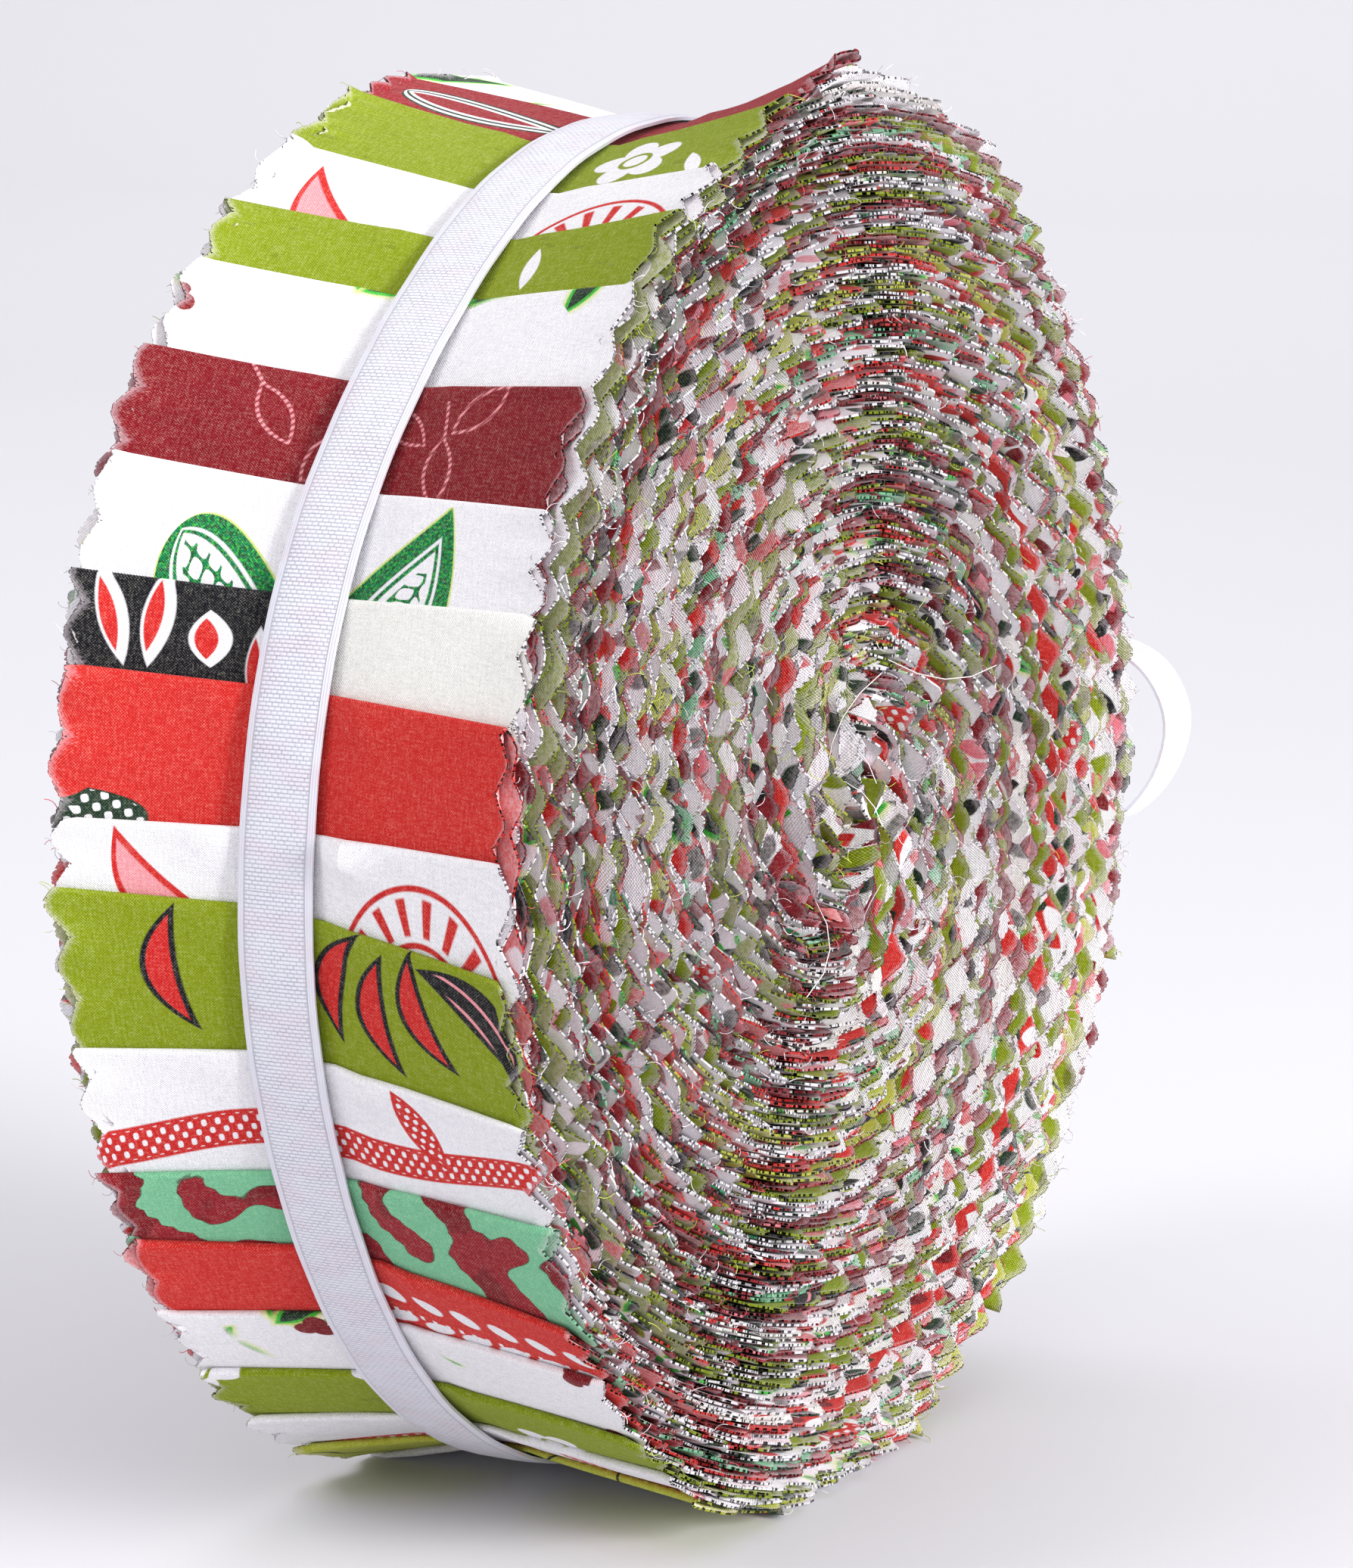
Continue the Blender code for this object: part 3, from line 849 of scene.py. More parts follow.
# %% [markdown]
# ## Prints
# Each function inks one fabric, from the ground up. The motifs and their places are made up here, and
# only the grounds, the colours and the scale of the motifs follow the real roll: lime, white and red
# grounds with leaves, outlined sprays, braids and a few dark patches.

# %% Lime and citron prints
def lime_blossom(c):
    x, y, pick = c.cells(27.0, 0.9, 3.1)
    ink = c.lay(INK["lime"], INK["olive"], c.noise(2.2, 5.0).over(0.72, 0.06) * 0.35)
    shown = pick.over(0.45, 0.01)
    flower = blossom(x, y, 5.0, 6.2)
    ink = c.lay(ink, INK["white"], flower.over(0.0, 0.25) * shown)
    ink = c.lay(ink, INK["lime"], ring(x, y, 2.0, 0.35).over(0.0, 0.2) * shown)
    lx, ly, l_pick = c.cells(11.0, 1.0, 8.3)
    spray = leaf(lx, ly, 3.6, 1.1).over(0.0, 0.2) * l_pick.over(0.74, 0.01)
    return c.lay(ink, INK["white"], spray)


def lime_petal(c):
    ink = INK["lime"]
    for u, v, turn in ((1.0, -19.0, 0.1), (-1.0, 3.0, -0.25), (2.0, 9.0, 0.1), (0.5, 15.5, 0.35),
                       (22.0, -8.0, 0.4), (31.0, 20.0, -0.6), (44.0, -24.0, 0.2)):
        x, y = c.near(u + 6.0, v, turn, 60.0)
        drop = leaf(x, y - 0.05 * x * x, 8.2, 2.3)
        ink = c.lay(ink, INK["black"], drop.over(0.0, 0.25))
        ink = c.lay(ink, INK["red"], drop.over(0.75, 0.2))
    x, y = c.near(3.0, 25.5, 0.9, 60.0)
    husk = leaf(x, y + 0.04 * x * x, 9.0, 3.0)
    ink = c.lay(ink, INK["black"], husk.over(0.0, 0.25))
    lines = (y * 2.6 + 0.1 * x * x).wave().over(0.8, 0.2) * husk.over(0.8, 0.3)
    return c.lay(ink, INK["pink"], lines)


def citron_outline(c):
    wander = c.noise(11.0, 15.0, 1.0, 4.0)
    ink = c.lay(INK["citron"], INK["dark green"], 1.0 - (wander - 0.5).size().over(0.012, 0.006))
    x, y, pick = c.cells(15.0, 1.0, 2.4)
    drop = teardrop(x, y, 4.2, 2.4)
    ink = c.lay(ink, INK["navy"], drop.over(0.0, 0.3) * pick.over(0.62, 0.01))
    return c.lay(ink, INK["white"], drop.over(1.0, 0.3) * pick.over(0.62, 0.01))


# %% [markdown]
# White grounds carry most of the colour in the real roll: green leaves with a bright edge, emerald
# teardrops full of small scrolls, red fans, and a red braid that runs across the strip.

# %% White prints
def white_leaf(c):
    ink = INK["white"]
    for size, shift, seldom in ((12.0, 5.2, 0.2), (11.0, 9.7, 0.5)):
        x, y, pick = c.cells(size, 0.9, shift)
        blade = leaf(x, y, 6.2, 2.1)
        shown = pick.over(seldom, 0.01) * c.noise(40.0, 26.0, 0.0, 2.0).over(0.5, 0.02)
        ink = c.lay(ink, INK["pale lime"], blade.over(-0.55, 0.9) * shown * 0.8)
        ink = c.lay(ink, INK["bright green"], blade.over(0.0, 0.3) * shown)
        ink = c.lay(ink, INK["dark green"], blade.over(0.55, 0.25) * shown)
    x, y, pick = c.cells(19.0, 0.9, 1.1)
    berry = blossom(x, y, 3.0, 2.6).over(0.0, 0.2) * pick.over(0.78, 0.01)
    return c.lay(ink, INK["crimson"], berry)


def white_paisley(c):
    ink = INK["white"]
    sparkle = c.lay(INK["emerald"], INK["bright green"], c.noise(0.34, 0.34, 0.0).over(0.6, 0.1) * 0.8)
    sparkle = c.lay(sparkle, INK["dark green"], c.noise(0.5, 0.5, 0.0, 3.0).over(0.58, 0.1) * 0.7)
    for u, v, turn in ((9.0, 11.0, 2.6), (13.0, -12.0, 0.9), (30.0, 20.0, 0.4), (44.0, -20.0, 1.2)):
        x, y = c.near(u, v, turn, 60.0)
        drop = teardrop(x, y, 13.0, 8.6, 0.35)
        shell = drop.over(0.0, 0.2) - drop.over(2.4, 0.2) + drop.over(2.9, 0.2) - drop.over(3.5, 0.2)
        scroll = (x * 1.5 + y.size() * 0.8).wave() * (y * 1.3 + 0.6).wave()
        inner = drop.over(4.4, 0.2) * (1.0 - scroll.size().over(0.24, 0.12))
        ink = c.lay(ink, INK["pale lime"], drop.over(-0.3, 0.2) * (1.0 - drop.over(0.1, 0.2)))
        ink = c.lay(ink, sparkle, (shell + inner).held())
    return ink


def white_fan(c):
    ink = INK["white"]
    for u, v, turn in ((13.0, 17.5, 0.0), (24.0, -12.0, 1.1), (40.0, 8.0, -0.8), (52.0, -21.0, 0.3)):
        x, y = c.near(u, v, turn, 60.0)
        far = (x * x + y * y).power(0.5)
        around = y.calc("ARCTAN2", -x)
        half = 1.0 - around.size().over(1.45, 0.05)
        rim = (ring(x, y, 12.2, 0.32).over(0.0, 0.2) + ring(x, y, 6.6, 0.32).over(0.0, 0.2)).held()
        rays = (around * 17.0).wave().over(0.45, 0.4) * (1.0 - (far - 9.4).size().over(1.9, 0.3))
        ink = c.lay(ink, INK["red"], ((rim + rays).held() * half).held())
    x, y = c.near(7.0, -20.0, 0.8, 60.0)
    petal = leaf(x, y - 0.05 * x * x, 9.0, 3.1)
    ink = c.lay(ink, INK["red"], petal.over(0.0, 0.2))
    return c.lay(ink, INK["pink"], petal.over(0.9, 0.25))


def white_braid(c):
    place = c.near(0.0, 0.0, 0.0, 60.0)[0]
    line = 11.5 + 1.3 * (c.v / 7.0).wave() - 0.06 * c.v
    band = 2.7 - (place - line).size()
    chain = (c.v * (TURN / 1.7)).wave() * (((place - line).size() - 1.25) * 2.4).calc("COSINE")
    holes = chain.over(0.35, 0.3) * band.over(0.5, 0.1)
    ink = c.lay(INK["white"], INK["red"], band.over(0.0, 0.25))
    ink = c.lay(ink, INK["white"], holes)
    x, y = c.near(6.0, 14.0, 0.5, 60.0)
    tassel = leaf(x, y, 6.5, 2.3)
    dots = ((x * 3.4).wave() * (y * 3.4).wave()).over(0.35, 0.3)
    ink = c.lay(ink, INK["red"], tassel.over(0.0, 0.2))
    return c.lay(ink, INK["white"], tassel.over(0.6, 0.1) * dots)


# %% [markdown]
# The red and dark fabrics are printed nearly solid, so their motifs are left white or drawn in thin
# pale lines, as a printer would leave the cloth bare.

# %% Red, mint and black prints
def cherry_paisley(c):
    ink = INK["cherry"]
    for u, v, turn in ((6.0, -15.0, 1.45), (30.0, 8.0, 0.6), (44.0, -18.0, 2.4)):
        x, y = c.near(u, v, turn, 60.0)
        drop = teardrop(x, y, 12.0, 5.6, 0.3)
        for inset, tone in ((-0.6, "dark green"), (0.0, "white"), (0.8, "dark green"), (1.5, "white"),
                            (2.3, "cherry")):
            ink = c.lay(ink, INK[tone], drop.over(inset, 0.2))
    x, y, pick = c.cells(14.0, 1.0, 6.6)
    return c.lay(ink, INK["rose"], leaf(x, y, 2.6, 0.7).over(0.0, 0.2) * pick.over(0.72, 0.01))


def crimson_leaf(c):
    ink = c.lay(INK["crimson"], INK["cherry"], c.noise(4.0, 9.0).over(0.5, 0.5) * 0.35)
    stitch = 0.55 + 0.45 * (c.u * 6.0 + c.v * 6.0).wave()
    for u, v, turn in ((4.0, -13.0, 0.6), (8.5, -5.5, -0.5), (3.5, 4.0, 1.0), (9.5, 11.0, 0.1),
                       (1.0, 15.0, -0.8), (24.0, -20.0, 0.9), (30.0, 3.0, 0.3), (42.0, 18.0, -0.5),
                       (48.0, -8.0, 1.2)):
        x, y = c.near(u, v, turn, 60.0)
        blade = leaf(x, y, 4.6, 1.9)
        line = 1.0 - blade.size().over(0.24, 0.16)
        along = x + 7.0
        stem = (0.22 - (y - 0.08 * along).size()).over(0.0, 0.14) * (1.0 - along.size().over(2.6, 0.2))
        ink = c.lay(ink, INK["pink"], ((line + stem).held() * stitch))
    return ink


def coral_dot(c):
    ink = c.lay(INK["coral"], INK["red"], c.noise(5.0, 12.0).over(0.5, 0.6) * 0.4)
    x, y = c.near(13.5, -26.0, 0.2, 60.0)
    pod = leaf(x, y, 4.2, 6.5)
    specks = ((x * 2.6).wave() * (y * 2.6).wave()).over(0.3, 0.2)
    ink = c.lay(ink, INK["dark green"], pod.over(0.0, 0.3))
    ink = c.lay(ink, INK["white"], pod.over(0.5, 0.2) * specks)
    for v in (8.0, 15.0, 22.0):
        for lean in (-0.65, 0.65):
            x, y = c.near(31.0, v, lean, 60.0)
            ink = c.lay(ink, INK["white"], teardrop(x, y, 4.2, 1.7).over(0.0, 0.25))
    return ink


def coral_feather(c):
    ink = c.lay(INK["coral"], INK["red"], c.noise(5.0, 12.0).over(0.5, 0.6) * 0.4)
    for step in range(6):
        v = 1.0 + 5.4 * step
        for lean in (-0.35, 0.55):
            u = 5.2 + 0.10 * v + 2.7 * math.copysign(1.0, lean)
            x, y = c.near(u, v, lean + 1.2, 60.0)
            oval = 1.25 - ((x * 0.55) * (x * 0.55) + y * y).power(0.5)
            ink = c.lay(ink, INK["white"], oval.over(0.0, 0.2))
    row = c.near(6.5, 0.0, 0.0, 60.0)[0] - 0.12 * c.v
    dots = (c.v * (TURN / 1.9)).wave().over(0.55, 0.3) * (0.45 - row.size()).over(0.0, 0.2)
    dots = dots * c.v.over(-4.0, 0.5)
    return c.lay(ink, INK["white"], dots)


def mint_thicket(c):
    jag = (((c.u + 0.7 * c.v) / 2.6).calc("FRACT") - 0.5).size() * 0.16
    ragged = c.noise(6.5, 8.0, 0.0, 6.0) + jag * c.noise(9.0, 9.0, 0.0, 2.0)
    ink = c.lay(INK["crimson"], INK["cherry"], c.noise(9.0, 7.0, 1.0, 3.0).over(0.5, 0.05))
    ink = c.lay(ink, INK["mint"], ragged.over(0.525, 0.012))
    return c.lay(ink, INK["dark green"], (1.0 - (ragged - 0.525).size().over(0.007, 0.005)) * 0.6)


def black_reed(c):
    edge = -4.5 + 1.1 * (c.u / 2.3).wave()
    ink = c.lay(INK["ivory"], INK["black"], 1.0 - c.v.over(edge, 0.3))
    for u, v, turn, long, wide in ((4.6, -26.0, 0.3, 6.6, 1.8), (4.4, -20.6, -0.1, 6.4, 1.9),
                                   (6.4, -14.2, 0.1, 3.6, 2.6), (9.5, -8.2, 0.05, 5.4, 1.5)):
        x, y = c.near(u, v, turn, 60.0)
        reed = leaf(x, y, long, wide)
        ink = c.lay(ink, INK["white"], reed.over(0.0, 0.25))
        ink = c.lay(ink, INK["red"], leaf(x, y + 0.5, long * 0.72, wide * 0.55).over(0.0, 0.2))
    return ink


# %% [markdown]
# ## Woven, pinked and printed on one side
# The print lies on a plain weave with a thread about a third of a millimetre apart, so the finish adds
# the weave as small changes of tone and as bump, uneven threads, and a soft sheen. Along the pinked
# edge the ink is thin and the cut ends of the threads fluff up pale. The edge's alpha follows a fine
# noise, so that here and there the cloth ends in a frayed nick instead of a clean cut. The reverse shows
# the print faintly through bare cloth. Two Bump nodes are chained: a coarse one for the soft creases,
# and a fine one for the threads. The nicks are far too small to let light through, so the cloth casts
# its shadow as if it were whole, which makes the render much quicker.

# %% Finish of the cloth
def pinked_edge(c):
    """Distance from the pinked edge, in millimetres of flat cloth."""
    pitch, depth = 1000.0 * TOOTH_PITCH, 1000.0 * TOOTH_DEPTH
    swing = ((c.u / pitch + 0.5).calc("FRACT") - 0.5).size() * 2.0
    return 1000.0 * HALF_WIDTH - depth * swing.at_least(2000.0 * TIP_BLUNT / pitch) - c.v.size()


def finish_cotton(c, ink, reverse=False):
    """Weave, thread and edge over the ink, wired to the shader."""
    if reverse:
        ink = c.lay(ink, INK["cloth back"], 0.25 + 0.5 * (c.noise(0.7, 0.7, 1.0, 5.0) - 0.5))
    warp = (c.u * (TURN / THREAD)).wave()
    weft = (c.v * (TURN / THREAD)).wave()
    weave = warp * weft
    slub = c.noise(0.36, 1.6, 1.0, 2.0) + c.noise(1.6, 0.36, 1.0, 7.0) - 1.0
    grain = c.noise(0.26, 0.26, 1.0, 8.0) - 0.5
    dull = c.noise(14.0, 10.0, 2.0, 9.0) - 0.5
    shade = (0.26 * weave + 0.42 * slub + 0.7 * grain + 0.10 * dull).at_most(0.5).at_least(-0.5)
    ink = c.scaled(ink, 1.0 + 0.42 * shade)
    ink = c.lay(ink, INK["pale thread"], shade.at_least(0.0) * (0.42 if not reverse else 0.6))
    edge = pinked_edge(c)
    frayed = c.noise(0.42, 0.42, 1.0, 3.0)
    fluff = (1.0 - edge / (0.3 + 1.3 * frayed)).held() * edge.over(0.05, 0.03)
    ink = c.lay(ink, INK["cloth back"], fluff * 0.34)
    # Painted shade: the cut edge of the cloth is darkened to half, so that it doesn't shine brighter than
    # the teeth beside it.
    ink = c.scaled(ink, 0.5 + 0.5 * edge.over(0.04, 0.03))
    join(c.tree, ink, c.shader.inputs["Base Color"])
    join(c.tree, edge.over(1.5 * (frayed - 0.5).at_least(0.0) - 0.03, 0.02), c.shader.inputs["Alpha"])
    c.material.use_transparent_shadow = False
    c.shader.inputs["Roughness"].default_value = 0.92
    c.shader.inputs["Specular IOR Level"].default_value = 0.15
    c.shader.inputs["Sheen Weight"].default_value = 0.05
    c.shader.inputs["Sheen Roughness"].default_value = 0.5
    threads = c.tree.nodes.new("ShaderNodeBump")
    threads.inputs["Strength"].default_value = 0.5
    threads.inputs["Distance"].default_value = 0.00014
    join(c.tree, weave * 0.5 + slub + fluff * c.noise(0.3, 0.3, 1.0, 4.0), threads.inputs["Height"])
    creases = c.tree.nodes.new("ShaderNodeBump")
    creases.inputs["Strength"].default_value = 0.24
    creases.inputs["Distance"].default_value = 0.0012
    crumple = c.noise(7.0, 16.0, 1.0, 12.0) + 0.35 * c.noise(2.6, 7.0, 1.0, 14.0)
    join(c.tree, crumple, creases.inputs["Height"])
    c.tree.links.new(creases.outputs["Normal"], threads.inputs["Normal"])
    c.tree.links.new(threads.outputs["Normal"], c.shader.inputs["Normal"])
    return c.material


print("a thread every", THREAD, "mm")

# %% [markdown]
# ## Small motifs inside the roll, and the two sides of a fabric
# The cut edges of a real roll show many more colours than its grounds alone, because small motifs run
# over them. The length that lies inside the roll therefore gets scattered spots in the print's other
# inks. For each fabric the table gives these inks, the distance between spots in millimetres, and the
# share of the places that is inked. `cotton` then makes two materials, the printed side and the
# reverse.

# %% Small motifs and the fabric's two sides
SMALL_MOTIFS = {
    "lime_blossom": (("white", "red", "olive", "black"), 5.4, 0.62),
    "lime_petal": (("red", "black", "white"), 5.8, 0.6),
    "citron_outline": (("dark green", "white", "red"), 5.6, 0.6),
    "white_leaf": (("dark green", "crimson", "bright green", "lime"), 5.0, 0.78),
    "white_paisley": (("emerald", "red", "black"), 5.2, 0.6),
    "white_fan": (("red", "crimson", "black", "rose"), 5.0, 0.75),
    "white_braid": (("red", "crimson", "dark green"), 4.8, 0.7),
    "cherry_paisley": (("white", "black", "rose"), 5.4, 0.6),
    "crimson_leaf": (("white", "rose", "black"), 5.2, 0.55),
    "coral_dot": (("white", "dark green", "crimson"), 5.6, 0.6),
    "coral_feather": (("white", "crimson"), 5.4, 0.5),
    "mint_thicket": (("dark green", "white"), 6.0, 0.4),
    "black_reed": (("black", "red", "dark green"), 6.4, 0.95),
}


def cotton(print_function):
    """The printed side and the reverse of one fabric."""
    name = print_function.__name__
    tones, size, share = SMALL_MOTIFS[name]
    out = []
    for c, reverse in ((Cloth(name), False), (Cloth(name + "_reverse"), True)):
        ink = scatter(c, print_function(c), tones, size, share, 20.0 + len(name))
        out.append(finish_cotton(c, ink, reverse))
    return out


print("fabrics:", len(SMALL_MOTIFS))

# %% [markdown]
# ## Cutting and winding the strips
# Each fabric gives one to five of the forty strips, as a shop's bundle does. The table says which
# fabric each strip number is cut from; numbers 0 to 17 are the folds that show on the front, from the
# top down.

# %% Which strip is cut from which fabric
BUNDLE = (
    (lime_blossom, (1, 3, 15, 23, 31)),
    (lime_petal, (10, 27, 35)),
    (citron_outline, (17, 21)),
    (white_leaf, (4, 39, 14, 29, 18)),
    (white_paisley, (6, 25, 33, 28)),
    (white_fan, (2, 9, 19, 24)),
    (white_braid, (11, 16, 37)),
    (cherry_paisley, (0, 22, 32)),
    (crimson_leaf, (5, 26, 36)),
    (coral_dot, (8, 20, 30)),
    (coral_feather, (13,)),
    (mint_thicket, (12, 34)),
    (black_reed, (7, 38)),
)
PRINT_REPEAT = 60.0 * MM
REPEATS_APART = 20
print("strips in the table:", sum(len(members) for _, members in BUNDLE))

# %% [markdown]
# The strips of one fabric become one object: flat grid, winding tree, then Solidify for the cloth's
# thickness, with the print on the outside and the reverse within. Every strip starts at another repeat
# of its print. The places of the wound edges are kept for the loose threads that come later.

# %% Wind every fabric's strips
def edge_points(mesh):
    """Points of the wound cloth's pinked edges, each with the side that it is on."""
    places = np.empty(3 * len(mesh.vertices))
    mesh.vertices.foreach_get("co", places)
    sides = np.empty(len(mesh.vertices))
    mesh.attributes["side"].data.foreach_get("value", sides)
    kept = np.abs(sides) > 0.5
    return places.reshape(-1, 3)[kept], sides[kept]


rng = random.Random(20)
cut_edges = {}
for print_function, members in BUNDLE:
    name = "strips_" + print_function.__name__
    strips = [(k, PRINT_REPEAT * REPEATS_APART * (i + 1)) for i, k in enumerate(members)]
    piece = new_piece(name, flat_mesh(name, strips, rng))
    face, reverse = cotton(print_function)
    run_tree(piece, wind_on_roll, face)
    cut_edges[name] = edge_points(piece.data)
    make_cloth(piece, CLOTH_THICK, (face, reverse), rim=0)
    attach(piece, "root")
    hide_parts("strip_roll")
    print(name, len(members), "strips,", sum(len(p.vertices) - 2 for p in piece.data.polygons), "triangles")

# %% [markdown]
# ## A plain finish
# The threads and the floor need one even tone without a print, so this small helper gives a matt finish
# of any colour. It is set straight on the Principled shader, with no nodes in between.

# %% Plain finish
def plain(name, tone, roughness=0.9):
    material = bpy.data.materials.new(name)
    material.use_nodes = True
    shader = material.node_tree.nodes["Principled BSDF"]
    shader.inputs["Base Color"].default_value = tone
    shader.inputs["Roughness"].default_value = roughness
    return material


# %% [markdown]
# ## Frayed threads
# Pinking shears slow fraying but don't stop it: short cut threads stand out all along the teeth, and a
# few long ones have worked loose near the core. A geometry tree sets one small bent thread on each chosen
# point of the cut edges, turned and sized by chance. A thread is a curve with a three-sided profile,
# because it is far too thin for its roundness to show. It is drawn one unit long, and its instance's
# scale gives the real length, so its thickness is a share of that length.

# %% The thread tree
THREAD_SIZES = (("Shortest", 0.7 * MM), ("Longest", 2.1 * MM), ("Thickness", 0.030), ("Spread", 0.95))


def thread_tree():
    """A bent thread on every point of the mesh, pointing away from the roll's middle."""
    tree, start, end = new_tree("frayed_threads", THREAD_SIZES)
    size = {label: Wire(tree, start.outputs[label]) for label, _ in THREAD_SIZES}
    seed = start.outputs["Seed"]
    number = tree.nodes.new("GeometryNodeInputIndex").outputs["Index"]
    bent = tree.nodes.new("GeometryNodeCurveQuadraticBezier")
    bent.inputs["Resolution"].default_value = 4
    bent.inputs["Start"].default_value = (0.0, 0.0, 0.0)
    bent.inputs["Middle"].default_value = (0.55, 0.34, 0.05)
    bent.inputs["End"].default_value = (0.95, -0.05, 0.25)
    profile = tree.nodes.new("GeometryNodeCurvePrimitiveCircle")
    profile.inputs["Resolution"].default_value = 3
    join(tree, size["Thickness"], profile.inputs["Radius"])
    tube = tree.nodes.new("GeometryNodeCurveToMesh")
    tree.links.new(bent.outputs["Curve"], tube.inputs["Curve"])
    tree.links.new(profile.outputs["Curve"], tube.inputs["Profile Curve"])
    tube.inputs["Fill Caps"].default_value = True
    points = tree.nodes.new("GeometryNodeMeshToPoints")
    tree.links.new(start.outputs["Geometry"], points.inputs["Mesh"])
    turn = tree.nodes.new("ShaderNodeCombineXYZ")
    half_turn = (1.0 - attribute(tree, "side")) * (0.5 * math.pi)
    tilt = chance(tree, -1.0, 1.0, Wire(tree, number) + 9000.0, seed) * size["Spread"]
    swing = chance(tree, -1.0, 1.0, Wire(tree, number) + 19000.0, seed) * size["Spread"]
    join(tree, chance(tree, 0.0, TURN, number, seed), turn.inputs["X"])
    join(tree, tilt, turn.inputs["Y"])
    join(tree, swing + half_turn, turn.inputs["Z"])
    place = tree.nodes.new("GeometryNodeInstanceOnPoints")
    tree.links.new(points.outputs["Points"], place.inputs["Points"])
    tree.links.new(tube.outputs["Mesh"], place.inputs["Instance"])
    tree.links.new(turn.outputs["Vector"], place.inputs["Rotation"])
    join(tree, chance(tree, size["Shortest"], size["Longest"], Wire(tree, number) + 29000.0, seed),
         place.inputs["Scale"])
    end_tree(tree, place.outputs["Instances"], start, end)
    return tree


frayed_threads = thread_tree()
print("thread tree:", len(frayed_threads.nodes), "nodes")

# %% [markdown]
# Threads of one tone make one piece: pale ones from the white grounds, lime ones and red ones. The core's
# long loose threads are pale too, and start from cut edges within 20 mm of the axis.

# %% Threads along the cut edges
FRAY = (
    ("fray_pale", ("white", "black"), colour(214, 206, 212), 2600),
    ("fray_lime", ("lime", "citron"), colour(176, 188, 84), 1100),
    ("fray_red", ("cherry", "crimson", "coral", "mint"), colour(196, 92, 104), 1100),
)
CORE_THREADS = 22
CORE_REACH = 20.0 * MM


def point_mesh(name, places, sides):
    """A mesh of loose points that remember their side of the roll."""
    mesh = bpy.data.meshes.new(name)
    mesh.from_pydata([tuple(p) for p in places], [], [])
    mesh.attributes.new("side", "FLOAT", "POINT").data.foreach_set("value", np.array(sides, np.float32))
    return mesh


def add_threads(name, tone, places, sides, **sizes):
    piece = run_tree(new_piece(name, point_mesh(name, places, sides)), frayed_threads,
                     plain(name + "_finish", tone), **sizes)
    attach(piece, "root")
    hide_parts("strip_roll")
    print(name, len(places), "threads,", sum(len(p.vertices) - 2 for p in piece.data.polygons), "triangles")


picker = np.random.default_rng(11)
for name, grounds, tone, count in FRAY:
    chosen = [v for key, v in cut_edges.items() if key.split("_")[1] in grounds]
    places, sides = np.vstack([p for p, _ in chosen]), np.concatenate([s for _, s in chosen])
    picked = picker.choice(len(places), count, replace=False)
    add_threads(name, tone, places[picked], sides[picked])

places = np.vstack([p for p, _ in cut_edges.values()])
sides = np.concatenate([s for _, s in cut_edges.values()])
near_core = np.flatnonzero(np.hypot(places[:, 1] - AXIS_BACK, places[:, 2] - AXIS_HEIGHT) < CORE_REACH)
picked = picker.choice(near_core, CORE_THREADS, replace=False)
add_threads("core_threads", colour(222, 214, 216), places[picked], sides[picked],
            Shortest=6.0 * MM, Longest=15.0 * MM, Thickness=0.0065, Spread=1.5)

# %% [markdown]
# ## Ribbon
# A 10 mm woven ribbon goes once round the waist and is tied in a bow at the back. It could be a curve
# with a flat bevel, but a bow twists and narrows as it enters its knot, so each stretch is a sheet made
# from rows of points across the ribbon. The belt follows the same path as the groove in the cloth. The
# two loops stand on edge, the two free ends hang down behind the rim, and the last wrap covers the knot.
# Each row of the two tables gives, in millimetres from the knot: out to the side, away from the roll,
# up, and the ribbon's width there.

# %% Sizes and path of the bow
RIBBON_WIDTH = 10.0 * MM
RIBBON_THICK = 0.45 * MM
KNOT_CENTRE = Vector((0.0, 90.2 * MM, -4.0 * MM))
LOOP = (
    (1.5, 0.3, 1.7, 6.0),
    (7.0, 2.7, 5.2, 8.2),
    (15.0, 6.0, 9.6, 9.4),
    (24.0, 8.8, 11.6, 9.6),
    (31.5, 9.2, 8.6, 9.6),
    (35.2, 9.4, 1.0, 9.6),
    (32.6, 9.3, -8.0, 9.6),
    (25.5, 8.9, -14.4, 9.6),
    (16.0, 6.2, -14.0, 9.4),
    (8.0, 2.8, -8.0, 8.2),
    (1.5, 0.3, -1.7, 6.0),
)
TAIL = (
    (2.6, -1.9, -2.0, 6.5),
    (4.4, -1.6, -8.0, 8.6),
    (6.2, -1.2, -16.0, 9.6),
    (8.0, -1.0, -25.0, 9.6),
    (9.6, -1.6, -34.0, 9.6),
    (10.8, -3.0, -43.0, 9.6),
)
TAIL_SLANT = 3.0 * MM
ACROSS = 9
BELT_OUT = 0.68 * MM
BELT_CROWN = 0.35 * MM
KNOT_WIDE = 11.6 * MM
KNOT_DEEP = 4.3 * MM
KNOT_TALL = 6.2 * MM
PLEAT = 0.35 * MM
print("bow:", round(2 * max(row[0] for row in LOOP), 1), "mm from loop to loop")

# %% [markdown]
# `ribbon_mesh` joins the rows of every stretch into one mesh and writes the UV map from the real lengths
# along the ribbon, so the weave has the same size everywhere. The other functions give the rows of one
# stretch each.

